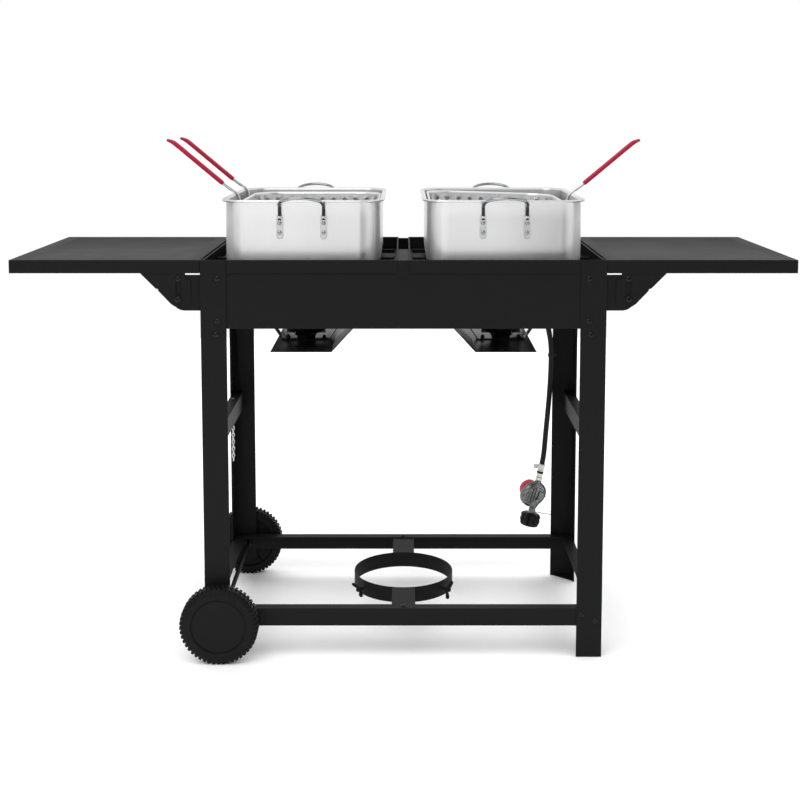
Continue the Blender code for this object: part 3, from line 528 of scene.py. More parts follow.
def regulator_face():
    """The regulator's own frame: X across, Y up its face, Z back to the knob."""
    centre = drop_point(0.0755) + Vector((-0.006, 0, 0))
    axis = Vector((-0.338, 0.899, 0.275)).normalized()
    across = (drop_point(1) - drop_point(0)).cross(axis).normalized()
    upright = axis.cross(across).normalized()
    if upright.z < 0:
        upright, across = -upright, -across
    return Matrix.Translation(centre) @ Matrix((across, upright, axis)).transposed().to_4x4()


def regulator_casting(face):
    """Round two-part casting with ribs and a raised pad in front, necks above and below."""
    casting = bmesh.new()
    shell = [(0, 0.015), (0.0195, 0.015), (0.021, 0.014), (0.0242, 0.0068), (0.031, 0.0045),
             (0.0329, 0.0034), (0.033, 0.0008), (0.0321, -0.0004), (0.0314, -0.0008), (0.0314, -0.0026),
             (0.0324, -0.0032), (0.0324, -0.005), (0.031, -0.0072), (0.0282, -0.0104), (0.025, -0.0116),
             (0.0236, -0.0112), (0.0225, -0.0128), (0.015, -0.0138), (0, -0.014)]
    add(casting, lathe(shell, 64), face)
    for x in (0.0165, 0.0095, 0.0025):
        reach = math.sqrt(0.0225 ** 2 - x * x) * 0.97
        rib = bmesh.new()
        loft(rib, [[(x - w, -reach * e, z), (x + w, -reach * e, z), (x + w, reach * e, z),
                    (x - w, reach * e, z)]
                   for w, e, z in ((0.0023, 1.0, -0.011), (0.0018, 0.97, -0.0154),
                                   (0.0011, 0.92, -0.0163))])
        add(casting, rib, face)
    pad = bmesh.new()
    outline = [(-0.0045, -0.012), (-0.015, -0.014), (-0.0215, -0.007), (-0.0215, 0.008),
               (-0.016, 0.0145), (-0.0055, 0.018)]
    mid_x, mid_y = -0.013, 0.001
    loft(pad, [[(mid_x + (x - mid_x) * k, mid_y + (y - mid_y) * k, z) for x, y in outline]
               for k, z in ((1.0, -0.01), (0.97, -0.016), (0.9, -0.0172))])
    add(casting, pad, face)
    upper_neck = [(0, -0.0423), (0.007, -0.0423), (0.008, -0.0432), (0.008, -0.048), (0.0085, -0.05),
                  (0.0092, -0.06), (0.0085, -0.07), (0, -0.07)]
    lower_neck = [(0, -0.082), (0.014, -0.086), (0.0142, -0.096), (0.0108, -0.104), (0.0085, -0.109),
                  (0.0082, -0.11), (0.0078, -0.1105), (0.0078, -0.114), (0.0084, -0.1145),
                  (0.0084, -0.119), (0.0074, -0.1196), (0.0074, -0.1225), (0, -0.1225)]
    for neck in (upper_neck, lower_neck):
        add(casting, lathe(neck), hung(0))
    for turn in range(5):
        a = math.radians(36 + 72 * turn)
        lug = lathe([(0, -0.009), (0.0026, -0.009), (0.0026, -0.004), (0, -0.004)], 12)
        spot = (0.0286 * math.cos(a), 0.0286 * math.sin(a), 0.0)
        add(casting, lug, face @ Matrix.Translation(spot))
    return stand_in("regulator_casting", casting, "zinc_casting", "regulator_body", 32)


def pressure_knob(face):
    knob = bmesh.new()
    profile = [(0, 0.0183), (0.015, 0.0183), (0.0188, 0.018), (0.0212, 0.0165), (0.0225, 0.0135),
               (0.0233, 0.003), (0.023, 0.0008), (0.0215, 0.0003), (0, 0.0003)]
    loft(knob, [circle(r, z + 0.015, 96, 24, 0.0011 if 0.002 < z < 0.017 else 0.0, 0.6)
                for r, z in profile], caps=(False, False))
    knob.transform(face)
    return stand_in("pressure_knob_cap", knob, "red_plastic", "regulator_knob", 30)


def bottle_nut():
    """Ten-lobed hand nut with a groove round it, hollow below round its nipple."""
    nut = bmesh.new()
    outer = [(0, 0, 0), (0.012, 0, 0), (0.015, -0.0008, 0.001), (0.02, -0.002, 0.0034),
             (0.0232, -0.0046, 0.0046), (0.024, -0.0064, 0.005), (0.024, -0.0098, 0.005),
             (0.0229, -0.0108, 0.004), (0.0229, -0.0136, 0.004), (0.024, -0.0146, 0.005),
             (0.024, -0.0205, 0.005), (0.0235, -0.0228, 0.0042), (0.0222, -0.0248, 0.0022),
             (0.0216, -0.0285, 0), (0.0208, -0.0296, 0), (0.017, -0.03, 0), (0.016, -0.0292, 0),
             (0.016, -0.01, 0), (0, -0.01, 0)]
    loft(nut, [circle(r, z, 120, 10, d, 0.7) for r, z, d in outer], caps=(False, False))
    add(nut, lathe([(0, -0.01), (0.006, -0.0102), (0.006, -0.023), (0.0044, -0.0255), (0, -0.0255)], 24))
    nut.transform(hung(0.1228))
    stand_in("bottle_nut_grip", nut, "nut_plastic", "coupling_nut", 32)


def regulator():
    """Ferrule, casting, red knob behind it and the bottle nut, all hanging in one line."""
    face = regulator_face()
    hanging = [*ferrule(), regulator_casting(face), pressure_knob(face)]
    bottle_nut()
    return hanging


def hose_extras():
    """Blank tag on the ferrule, the tie round the hose and the thin tether wire."""
    tag = bmesh.new()
    base = drop_point(0.006) + Vector((-0.007, -0.001, 0))
    bend = [(0, 0), (-0.003, 0.0006), (-0.006, 0.002), (-0.009, 0.0022), (-0.012, 0.001)]
    rows = [[base + Vector((x, y, z)) for z in (0.0052 - 0.09 * abs(x), -0.0052 - 0.05 * abs(x))]
            for x, y in bend]
    loft(tag, rows, caps=(False, False), cyclic=False)
    tag = piece("blank_tag", tag, "red_vinyl", "frame", material=MATERIALS["tag"])
    sheet = tag.modifiers.new("paper", "SOLIDIFY")
    sheet.thickness = 0.0004
    ring = lathe([(0.0068, 0.005), (0.0076, 0.005), (0.0078, 0.0046), (0.0078, -0.0046),
                  (0.0076, -0.005), (0.0068, -0.005), (0.0068, 0.005)], 32)
    ring.transform(hung(0.006))
    band = piece("tag_band", ring, "plated_brass", "frame", material=MATERIALS["tag"])
    route = hose_centreline()
    spot = min(route, key=lambda p: abs(p.z - 0.556))
    after = route[route.index(spot) + 1]
    tie = lathe([(0.006, 0.004), (0.0076, 0.004), (0.008, 0.0034), (0.008, -0.0034), (0.0076, -0.004),
                 (0.006, -0.004), (0.006, 0.004)], 32)
    add(tie, block((0.0066, -0.003, -0.0042), (0.0125, 0.003, 0.0042)))
    tie.transform(along(spot - after, spot))
    tie = piece("hose_tie", tie, "nut_plastic", "frame")
    bevel(tie, 0.0004)
    start = drop_point(0.121)
    wire_path = smooth_route([start + Vector(o) for o in (
        (0.0072, 0.001, 0), (0.014, -0.002, -0.0008), (0.021, -0.003, -0.0014),
        (0.025, -0.001, -0.0042), (0.03, 0.001, -0.004), (0.04, 0.004, -0.0068),
        (0.048, 0.006, -0.0086))], 0.002)
    tether = piece("tether_wire", tube(wire_path, 0.0009, 8), "wire_steel", "frame",
                   material=MATERIALS["bail_chrome"])
    loop = [start + Vector((0.0078 * math.cos(a), 0.0078 * math.sin(a), 0.0))
            for a in (2 * math.pi * i / 24 for i in range(25))]
    tether_loop = piece("tether_loop", tube(loop, 0.0009, 8), "wire_steel", "frame",
                        material=MATERIALS["bail_chrome"])
    return [tag, band, tie, tether, tether_loop]


# ---------------------------------------------------------------- screws and rivets
def screw_head(radius=0.0062, height=0.0024):
    """A domed flange head with a cross recess, its top towards +Z."""
    arm, half = radius * 0.52, radius * 0.13
    corner = [(arm, -half), (arm, 0), (arm, half), (half * 1.3, half * 1.3)]
    cross = [Matrix.Rotation(math.radians(90 * q), 2) @ Vector(p)
             for q in range(4) for p in corner]
    bm = bmesh.new()
    rings = []
    for r, z in ((1, 0), (1, 0.18), (0.96, 0.3), (0.84, 0.62), (0.7, 0.86), (0.58, 0.97)):
        rings.append([(radius * r * p.normalized().x, radius * r * p.normalized().y, height * z)
                      for p in cross])
    rings.append([(p.x, p.y, height) for p in cross])
    rings.append([(p.x * 0.8, p.y * 0.8, height * 0.35) for p in cross])
    loft(bm, rings)
    return bm


def rivet_head(radius=0.0046, height=0.0032):
    return lathe([(radius, 0.0)] + [(radius * math.cos(a), height * math.sin(a))
                                    for a in (math.radians(10 * i) for i in range(1, 9))]
                 + [(0, height)], 24)


def hex_nut(width, height):
    """A hexagon nut with the end of its bolt standing out of it."""
    r = width / 2 / math.cos(math.radians(30))
    bm = hexagon([(r * k, z) for k, z in ((0.94, 0), (1, 0.0005), (1, height - 0.0005),
                                          (0.94, height))])
    add(bm, lathe([(0, height + 0.003), (0.0026, height + 0.003), (0.003, height + 0.0024),
                   (0.003, 0), (0, 0)], 16))
    return bm


def fasteners(name, head, places, body, slot="black_coat", smooth=40, look="screw_black"):
    """Copies of one head at each place, turned at random looking but fixed angles."""
    bm = bmesh.new()
    for spin, (spot, out) in enumerate(places):
        turn = Matrix.Rotation(math.radians(37 * spin), 4, "Z")
        add(bm, head, along(out, spot) @ turn)
    head.free()
    return piece(name, bm, slot, body, smooth, material=MATERIALS[look], weld=0)


def frame_screws():
    places = []
    for sx, _ in SIDES:
        for sy, _ in ENDS:
            for x, z in ((0.378, 0.797), (0.378, 0.71), (0.382, 0.682)):
                places.append(((sx * x, sy * FRAME_Y, z), (0, sy, 0)))
            for y, z in ((0.211, 0.812), (0.211, 0.708), (0.211, 0.4515), (0.211, 0.086)):
                places.append(((sx * FRAME_X, sy * y, z), (sx, 0, 0)))
            for z in (0.7445, 0.7845):
                places.append(((sx * (FRAME_X + 0.0019), sy * 0.213, z), (sx, 0, 0)))
            places.append(((sx * PIVOT_X, sy * 0.2365, PIVOT_Z), (0, sy, 0)))
    for sy, _ in ENDS:
        for x, z in ((0.371, 0.091), (0.4, 0.078)):
            places.append(((x, sy * FRAME_Y, z), (0, sy, 0)))
        places.append(((0.0, sy * 0.22, 0.104), (0, 0, 1)))
    fasteners("frame_screws", screw_head(), places, "frame")
    for sx, x_name in SIDES:
        places = [((sx * PIVOT_X, sy * ARM_FACE_Y, 0.7965), (0, sy, 0)) for sy, _ in ENDS]
        fasteners(f"shelf_screws_{x_name}", screw_head(), places, BODY_OF[f"shelf_{x_name}"])


# ---------------------------------------------------------------- shelves, trays and grates
def shelf(side, x_name):
    """Pressed sheet shelf: a field set slightly down, folded skirts and a returned hem."""
    node = f"shelf_{x_name}"
    low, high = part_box(node)

    def rect(inset, z):
        return [(low.x + inset, low.y + inset, z), (high.x - inset, low.y + inset, z),
                (high.x - inset, high.y - inset, z), (low.x + inset, high.y - inset, z)]
    bm = bmesh.new()
    loft(bm, [rect(0.008, low.z), rect(0.0, low.z), rect(0.0, high.z), rect(SHELF_BORDER, high.z),
              rect(SHELF_BORDER + 0.0012, high.z - EMBOSS)], caps=(False, True))
    panel = stand_in(f"shelf_panel_{x_name}", bm, "black_coat", node)
    top = max(panel.data.polygons, key=lambda f: f.area)
    if top.normal.z < 0:
        panel.data.flip_normals()
    sheet = thicken(panel, SHELF_SHEET)
    sheet.use_even_offset = True
    bevel(panel, 0.0008, 3)
    outer = side * 0.8
    seams = bmesh.new()
    for sy, _ in ENDS:
        xs = sorted((outer, outer - side * 0.004))
        ys = sorted((sy * 0.2335, sy * 0.2338))
        block((xs[0], ys[0], low.z + 0.0006), (xs[1], ys[1], high.z - 0.001), seams)
    seams = piece(f"shelf_corner_laps_{x_name}", seams, "black_coat", BODY_OF[node])
    bevel(seams, 0.00012, 1)


def tray_hems():
    """Folded hems along the top of the trays' side walls."""
    for side, x_name in SIDES:
        bm = bmesh.new()
        for inner, outer in ((0.0115, 0.0148), (0.4052, 0.4085)):
            xs = sorted((side * inner, side * outer))
            block((xs[0], -0.229, 0.8315), (xs[1], 0.229, 0.8349), bm)
        hem = piece(f"tray_hems_{x_name}", bm, "black_coat", BODY_OF[f"tray_{x_name}"])
        bevel(hem, 0.001, 3)


# ---------------------------------------------------------------- wheels
def tread_lump(bm, start, end, z0, z1):
    """One tread block between two angles and two heights, tapered outwards."""
    taper, rings = 0.0012, []
    for r, shrink in ((TREAD_FLOOR_R, 0.0), (WHEEL_R - 0.0008, taper * 0.5), (WHEEL_R, taper)):
        a0, a1 = start + shrink / WHEEL_R, end - shrink / WHEEL_R
        low, high = z0 + shrink, z1 - shrink
        rings.append([(r * math.cos(a), r * math.sin(a), z)
                      for a, z in ((a0, low), (a1, low), (a1, high), (a0, high))])
    loft(bm, rings)


def wheel(side, y_name):
    """Moulded wheel: a dished disc in a bead, and two staggered rows of tread blocks."""
    width = WHEEL_OUTER_Y - WHEEL_INNER_Y
    bm = bmesh.new()
    outer = [(0, 0.0022), (0.03, 0.002), (0.0535, 0.0016), (0.055, 0.0026), (0.0562, 0.0028),
             (0.0572, 0.0012), (0.0588, 0.0002), (0.0606, 0.0002), (0.0622, 0.0012), (0.064, 0.0012),
             (0.071, 0.002), (0.076, 0.0045), (0.078, 0.0075), (0.0785, 0.01)]
    inner = [(0.0785, 0.01), (0.078, 0.0075), (0.076, 0.0045), (0.071, 0.0022), (0.061, 0.0008),
             (0.059, 0.006), (0.023, 0.006), (0.021, 0), (0.0053, 0)]
    bore = [(0.0053, 0.0085), (0, 0.0085)]
    lathe([(r, width - down) for r, down in outer] + inner
          + [(r, width - down) for r, down in bore], 96, bm)
    for k in range(WHEEL_RIBS):
        rib = block((0.0205, -0.0012, 0.0004), (0.06, 0.0012, 0.007))
        add(bm, rib, Matrix.Rotation(2 * math.pi * k / WHEEL_RIBS, 4, "Z"))
    step = 2 * math.pi / TREAD_LUMPS
    for k in range(TREAD_LUMPS):
        a = k * step
        tread_lump(bm, a, a + 0.66 * step, 0.0205, 0.035)
        tread_lump(bm, a + 0.5 * step, a + 1.16 * step, 0.0045, 0.019)
    for k in range(TREAD_LUMPS):
        lug = bmesh.new()
        loft(lug, [[(r, -half, z - 0.004), (r, half, z - 0.004), (r, half * 0.75, z),
                    (r, -half * 0.75, z)]
                   for r, z, half in ((0.0665, width - 0.0018, 0.0016),
                                      (0.0715, width - 0.0014, 0.0024),
                                      (0.077, width - 0.0036, 0.0031),
                                      (0.08, width - 0.0066, 0.0032))])
        add(bm, lug, Matrix.Rotation((k + 0.33) * step, 4, "Z"))
    place = Matrix.Translation((WHEEL_X, side * WHEEL_INNER_Y, WHEEL_R))
    bm.transform(place @ Matrix.Rotation(math.radians(-90 * side), 4, "X"))
    stand_in(f"moulded_wheel_{y_name}", bm, "wheel_plastic", f"wheel_{y_name}", 30, weld=0)


def axle_nuts():
    bm = bmesh.new()
    for side, _ in ENDS:
        place = along((0, -side, 0), (WHEEL_X, side * 0.233, WHEEL_R))
        add(bm, hex_nut(0.015, 0.005), place)
    piece("axle_nuts", bm, "wire_steel", "frame", 30, material=MATERIALS["screw_black"], weld=0)
    rod = bmesh.new()
    end = 0.2675
    profile = [(0, -end), (0.0044, -end), (0.005, -end + 0.0008), (0.005, end - 0.0008),
               (0.0044, end), (0, end)]
    add(rod, lathe(profile, 32), along((0, 1, 0), (WHEEL_X, 0, WHEEL_R)))
    stand_in("blackened_axle", rod, "wire_steel", "axle", material=MATERIALS["black_coat"])


# ---------------------------------------------------------------- bottle ring
def wing_screw(side, x_name):
    tilt = {-1: 58, 1: -28}[side]
    out = Vector((side * math.sin(WING_ANGLE), -math.cos(WING_ANGLE), 0.0))
    turn = Matrix.Rotation(math.radians(tilt), 3, out) @ Vector((0, 0, 1))
    third = turn.cross(out).normalized()
    place = Matrix((turn, third, out)).transposed().to_4x4()
    place = Matrix.Translation(Vector((0, 0, WING_Z)) + out * RING_R) @ place
    bm = bmesh.new()
    thread = [(0, -0.01)]
    for k in range(24):
        z = -0.0098 + k * 0.0009
        thread += [(0.0024, z), (0.003, z + 0.00045)]
    lathe(thread + [(0.0024, 0.0125), (0, 0.013)], 16, bm)
    lathe([(0, 0.0085), (0.005, 0.0085), (0.0058, 0.0092), (0.0055, 0.015), (0.0044, 0.019),
           (0.003, 0.0202), (0, 0.0204)], 24, bm)
    for way in (-1, 1):
        path = [(way * x, 0, z) for x, z in ((0.003, 0.013), (0.007, 0.0138), (0.011, 0.016),
                                             (0.015, 0.018), (0.0185, 0.0188), (0.0198, 0.0188))]
        sizes = [(0.0022, 0.004), (0.0018, 0.0036), (0.0015, 0.0042), (0.0014, 0.005), (0.0013, 0.004),
                 (0.001, 0.0022)]
        tube(path, sizes, 12, bm)
    bm.transform(place)
    stand_in(f"wing_bolt_{x_name}", bm, "black_coat", f"wing_screw_{x_name}", 40)


# ---------------------------------------------------------------- pots
def pot(side, x_name):
    """Deep-drawn pan with a rolled rim; its inner faces below the rim get a darker aluminium as painted
    shade.
    """
    x = side * POT_X

    def ring(out, z):
        corner = max(0.01, POT_CORNER + out)
        return [(x + px, py, pz) for px, py, pz in
                rounded_rect(POT_HALF_X + out, POT_HALF_Y + out, corner, z, 12)]
    bends = [math.radians(15 * i) for i in range(7)]

    def foot(wall, floor_z, angles):
        return [(wall - POT_FOOT_R * (1 - math.sin(a)), floor_z + POT_FOOT_R * (1 - math.cos(a)))
                for a in angles]
    outside = foot(0.0, POT_BOTTOM, bends)
    rim = [(0, 0.9482), (0.0004, 0.9496), (0.0018, 0.9506), (0.0045, 0.9506), (0.006, 0.95),
           (0.0074, 0.9502), (0.0083, 0.9513), (0.0085, 0.9527), (0.008, 0.9541), (0.0068, 0.9549),
           (0.0052, 0.9549), (0.002, 0.9545), (0, 0.9536), (-0.0011, 0.9522), (-0.0015, 0.95)]
    inside = foot(-POT_SHEET, POT_BOTTOM + POT_SHEET, reversed(bends))
    levels = [(0.0, POT_BOTTOM + 0.05), (0.0, POT_BOTTOM + 0.09)]
    inner_levels = [(-POT_SHEET, z) for _, z in reversed(levels)]
    bm = bmesh.new()
    loft(bm, [ring(out, z) for out, z in outside + levels + rim + inner_levels + inside])
    obj = stand_in(f"pot_pan_{x_name}", bm, "aluminium", f"pot_{x_name}", 50)
    # Inner faces below the rim take the darker aluminium: painted shade inside the pan.
    obj.data.materials.append(MATERIALS["pot_inside"])
    for face in obj.data.polygons:
        out = Vector((face.center.x - x, face.center.y, 0.0))
        facing_in = face.normal.dot(out) < -0.001 or face.normal.z > 0.5
        if facing_in and face.center.z < POT_SHADE_TOP_Z:
            face.material_index = 1


def stadium(half_width, low, high, steps=10):
    """A vertical slot-shaped outline in X and Z."""
    points = []
    for k in range(steps + 1):
        a = math.pi * k / steps
        points.append((half_width * math.cos(a), high - half_width + half_width * math.sin(a)))
    for k in range(steps + 1):
        a = math.pi + math.pi * k / steps
        points.append((half_width * math.cos(a), low + half_width + half_width * math.sin(a)))
    return points


def bail(node, name, x, wall, end):
    """The bent rod of a pot handle, its feet in the plates; its lower legs carry a darker steel as
    painted shade.
    """
    bend_z, peak_z, out = 0.94, 0.961, 0.04
    path = []
    for i in range(33):
        t = math.pi * i / 32
        shape = math.sin(t) ** 0.6
        path.append((x - BAIL_HALF * math.cos(t), wall + end * (0.0048 + out * shape),
                     bend_z + (peak_z - bend_z) * shape))
    feet = [(x + way, wall + end * 0.0046, z) for way in (-BAIL_HALF, BAIL_HALF)
            for z in (0.914, 0.924)]
    route = smooth_route([feet[0], feet[1]] + path + [feet[3], feet[2]], 0.003)
    rod = stand_in(name, tube(route, BAIL_WIRE_R, 16), "wire_steel", node,
                   material=MATERIALS["bail_chrome"])
    # The rod's lower legs take the darker steel: painted shade standing in for the dark reflections the
    # legs show.
    rod.data.materials.append(MATERIALS["bail_foot"])
    for face in rod.data.polygons:
        if face.center.z < BAIL_SHADE_TOP_Z:
            face.material_index = 1


def pot_handle(side, x_name, end, y_name):
    """Bent rod bail held by two riveted plates."""
    node, where = f"pot_handle_{y_name}_{x_name}", f"{y_name}_{x_name}"
    x, wall = side * POT_X, end * (POT_HALF_Y + 0.0003)
    bail(node, f"bail_{where}", x, wall, end)
    plates = bmesh.new()
    rivets = []
    crown = [(0.0052, 0.9225), (0.0058, 0.9215), (0.0057, 0.919), (0.005, 0.916), (0.0034, 0.9125),
             (0.0004, 0.9085)]
    for way in (-BAIL_HALF, BAIL_HALF):
        loft(plates, [[(x + way + px, wall + end * depth, pz) for px, pz in
                       stadium(PLATE_HALF - shrink, PLATE_LOW + shrink, PLATE_TOP - shrink)]
                      for shrink, depth in ((0, 0), (0, 0.0016), (0.0006, 0.0022))])
        loft(plates, [[(x + way + r * math.cos(a),
                        wall + end * (0.0012 + (r + 0.0012) * math.sin(a)), z)
                       for a in (math.pi * k / 12 for k in range(13))] for r, z in crown])
        rivets += [((x + way, wall + end * 0.002, z), (0, end, 0)) for z in RIVET_Z]
    piece(f"handle_plates_{where}", plates, "aluminium", BODY_OF[node], 40,
          material=MATERIALS["handle_plate"])
    fasteners(f"handle_rivets_{where}", rivet_head(), rivets, BODY_OF[node], "aluminium",
              look="bail_chrome")


# ---------------------------------------------------------------- baskets
HOLE_ANGLES = [math.radians(22.5 * k) for k in range(16)]


def around(u, half_x, half_y, corner):
    """The point and outward normal at a distance round a rounded rectangle."""
    for turn in range(4):
        straight = 2 * ((half_y if turn % 2 == 0 else half_x) - corner)
        reach = half_x if turn % 2 == 0 else half_y
        a = math.radians(90 * turn)
        out, forward = Vector((math.cos(a), math.sin(a))), Vector((-math.sin(a), math.cos(a)))
        if u <= straight:
            return out * reach + forward * (u - straight / 2), out
        u -= straight
        if u <= math.pi / 2 * corner:
            b = a + u / corner
            normal = Vector((math.cos(b), math.sin(b)))
            return out * (reach - corner) + forward * straight / 2 + normal * corner, normal
        u -= math.pi / 2 * corner
    return around(max(0.0, u), half_x, half_y, corner)


def punched_walls(bm, spot, pitch):
    """Three rows of square cells round the walls, each with a round hole."""
    half = pitch / 2
    for i in range(HOLE_COLUMNS):
        for j in range(HOLE_ROWS):
            u, z = (i + 0.5) * pitch, HOLE_BAND_TOP - (j + 0.5) * pitch
            inner, outer = [], []
            for a in HOLE_ANGLES:
                reach = half / max(abs(math.cos(a)), abs(math.sin(a)))
                for ring, r in ((inner, HOLE_R), (outer, reach)):
                    ring.append(bm.verts.new(spot(u + r * math.cos(a), z + r * math.sin(a))))
            for k in range(16):
                after = (k + 1) % 16
                bm.faces.new((inner[k], outer[k], outer[after], inner[after]))


def punched_floor(bm, x, rim):
    """Fills the rim with a floor that has a grid of round holes."""
    loops = [rim]
    for i in range(-4, 5):
        for j in range(-6, 7):
            if abs(i) == 4 and abs(j) == 6:
                continue
            px, py = i * FLOOR_PITCH, j * FLOOR_PITCH
            loops.append([bm.verts.new((x + px + HOLE_R * math.cos(a), py + HOLE_R * math.sin(a),
                                        BASKET_BOTTOM)) for a in HOLE_ANGLES])
    edges = []
    for loop in loops:
        for a, b in zip(loop, loop[1:] + loop[:1]):
            edges.append(bm.edges.get((a, b)) or bm.edges.new((a, b)))
    bmesh.ops.triangle_fill(bm, edges=edges, use_beauty=True, use_dissolve=False)


def basket(side, x_name):
    """Perforated sheet basket with punched holes in its walls and floor."""
    x = side * BASKET_X
    shape = (BASKET_HALF_X, BASKET_HALF_Y, BASKET_CORNER)
    straight = 4 * (BASKET_HALF_X + BASKET_HALF_Y - 2 * BASKET_CORNER)
    girth = straight + 2 * math.pi * BASKET_CORNER
    pitch = girth / HOLE_COLUMNS
    half = pitch / 2

    def spot(u, z, out=0.0):
        point, normal = around(u % girth, *shape)
        return (x + point.x + normal.x * out, point.y + normal.y * out, z)
    bm = bmesh.new()
    punched_walls(bm, spot, pitch)
    slant = math.tan(math.radians(22.5))
    offsets = [0, half * (1 - slant), half, half * (1 + slant)]
    stations = [i * pitch + o for i in range(HOLE_COLUMNS) for o in offsets]
    upper = [(0.0, HOLE_BAND_TOP), (0.0002, 0.9432), (0.001, 0.9444), (0.0024, 0.9449),
             (0.003, 0.9443), (0.0028, 0.9432)]
    lower = [(0.0, HOLE_BAND_TOP - HOLE_ROWS * pitch)]
    for a in (math.radians(15 * k) for k in range(7)):
        lower.append((-BASKET_FOOT_R * (1 - math.cos(a)),
                      BASKET_BOTTOM + BASKET_FOOT_R * (1 - math.sin(a))))
    loft(bm, [[spot(u, z, out) for u in stations] for out, z in upper], caps=(False, False))
    made = loft(bm, [[spot(u, z, out) for u in stations] for out, z in lower],
                caps=(False, False))
    punched_floor(bm, x, made[-1])
    if side > 0:
        middle = Vector((x, 0, (BASKET_BOTTOM + BASKET_TOP) / 2))
        tilt = Matrix.Rotation(RIGHT_BASKET_TILT, 4, "Y")
        bm.transform(Matrix.Translation(middle) @ tilt @ Matrix.Translation(-middle))
    obj = stand_in(f"perforated_basket_{x_name}", bm, "aluminium", f"basket_{x_name}",
                   material=MATERIALS["basket_sheet"])
    test = obj.data.polygons[0]
    if (test.center.x - x) * test.normal.x + test.center.y * test.normal.y < 0:
        obj.data.flip_normals()
    thicken(obj, BASKET_SHEET)


def basket_handle(side, end, node):
    """Wire handle bent out over the pot rim, with a dipped red sleeve pinched at its end."""
    wall = BASKET_X + BASKET_HALF_X
    knots = [(wall + 0.005, 0.865), (wall + 0.006, 0.905), (ROD_X, 0.945),
             (ROD_X + 0.006, 0.9595), (ROD_X + 0.018, 0.969), (0.384, 0.981),
             (0.44, 1.028), (0.478, 1.06), (0.49, 1.069), (0.502, 1.074)]
    points = [(side * px, end * ROD_Y, pz) for px, pz in knots]
    stand_in(node + "_wire", tube(smooth_route(points[:7], 0.003), 0.003, 14), "wire_steel", node)
    grip = smooth_route(points[5:], 0.003)
    sizes = []
    for i in range(len(grip)):
        pinch = max(0.0, 1 - (len(grip) - 1 - i) * 0.003 / 0.016)
        mouth = 0.0037 if i == 0 else 0.0046 if i == 1 else 0.0049
        sizes.append((mouth * (1 + 0.22 * pinch), mouth * (1 - 0.42 * pinch)))
    piece(node + "_grip", tube(grip, sizes, 18), "red_vinyl", BODY_OF[node], 50)


# ---------------------------------------------------------------- burners and gas
def burner(side, x_name):
    """Round cast burner with two rings of ports, its mixing tube and air shutter."""
    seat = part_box(f"burner_{x_name}")[0].z
    bm = bmesh.new()
    x = side * BURNER_X
    profile = [(0, 0.033), (0.01, 0.0335), (0.015, 0.0352), (0.0185, 0.038), (0.024, 0.0395),
               (0.029, 0.0395), (0.033, 0.043), (0.037, 0.0458), (0.05, 0.0458), (0.053, 0.044),
               (0.0548, 0.0405), (0.055, 0.033), (0.0535, 0.03), (0.048, 0.027), (0.04, 0.018),
               (0.03, 0.0125), (0.024, 0.01), (0.0215, 0.006), (0.02, 0), (0, 0)]
    add(bm, lathe(profile, 64), Matrix.Translation((x, 0, seat)))
    port = lathe([(0.0017, -0.001), (0.0024, -0.0006), (0.0024, 0.0006), (0.0017, 0.0007),
                  (0.0012, -0.0008), (0, -0.0009)], 10)
    for count, r, z, lean in ((28, 0.044, 0.0457, 0), (24, 0.0541, 0.0422, 60),
                              (12, 0.0265, 0.0394, 0)):
        tip, rise = math.sin(math.radians(lean)), math.cos(math.radians(lean))
        for k in range(count):
            a = 2 * math.pi * k / count
            out = Vector((math.cos(a) * tip, math.sin(a) * tip, rise))
            add(bm, port, along(out, (x + r * math.cos(a), r * math.sin(a), seat + z)))
    start = Vector((x + side * 0.006, 0.012, VALVE_Z + 0.002))
    end = Vector((side * (VALVE_X - 0.004), 0.172, VALVE_Z))
    run = (end - start).normalized()
    length = (end - start).length
    pipe = [(0, 0), (0.0125, 0), (0.0118, 0.02), (0.0105, 0.03), (0.0098, length * 0.55),
            (0.01, length * 0.8), (0.0112, length * 0.86), (0.015, length * 0.93),
            (0.016, length - 0.006), (0.016, length), (0.014, length), (0.0132, length - 0.004),
            (0.01, length * 0.88), (0, length * 0.86)]
    add(bm, lathe(pipe, 28), along(run, start))
    for k in range(BURNER_RIBS):
        rib = block((0.0205, -0.0013, 0.011), (0.043, 0.0013, 0.02))
        turn = Matrix.Rotation(2 * math.pi * k / BURNER_RIBS, 4, "Z")
        add(bm, rib, Matrix.Translation((x, 0, seat)) @ turn)
    node = f"burner_{x_name}"
    stand_in(f"cast_{node}", bm, "cast_iron", node, 38, weld=0)
    shutter = lathe([(0, length - 0.0005), (0.0045, length - 0.0005), (0.0045, length + 0.0006),
                     (0.016, length + 0.0006), (0.0165, length), (0.0165, length - 0.01),
                     (0.0169, length - 0.01), (0.0169, length + 0.0006), (0.016, length + 0.0012),
                     (0, length + 0.0012)], 28)
    shutter.transform(along(run, start))
    piece(f"air_shutter_{x_name}", shutter, "plated_brass", BODY_OF[node], 38)


def shield_bolts():
    """Bolts through the straps, shields and burner feet."""
    heads, nuts = [], []
    for side, _ in SIDES:
        for dx in (-0.04, 0.04):
            x = side * BURNER_X + dx
            heads.append(((x, 0.0, SHIELD_Z - 0.0006), (0, 0, -1)))
            nuts.append(((x, 0.0, SHIELD_Z + 0.0027), (0, 0, 1)))
    fasteners("shield_bolt_heads", screw_head(0.005, 0.0022), heads, "frame")
    fasteners("shield_nuts", hex_nut(0.008, 0.0042), nuts, "frame", smooth=30)


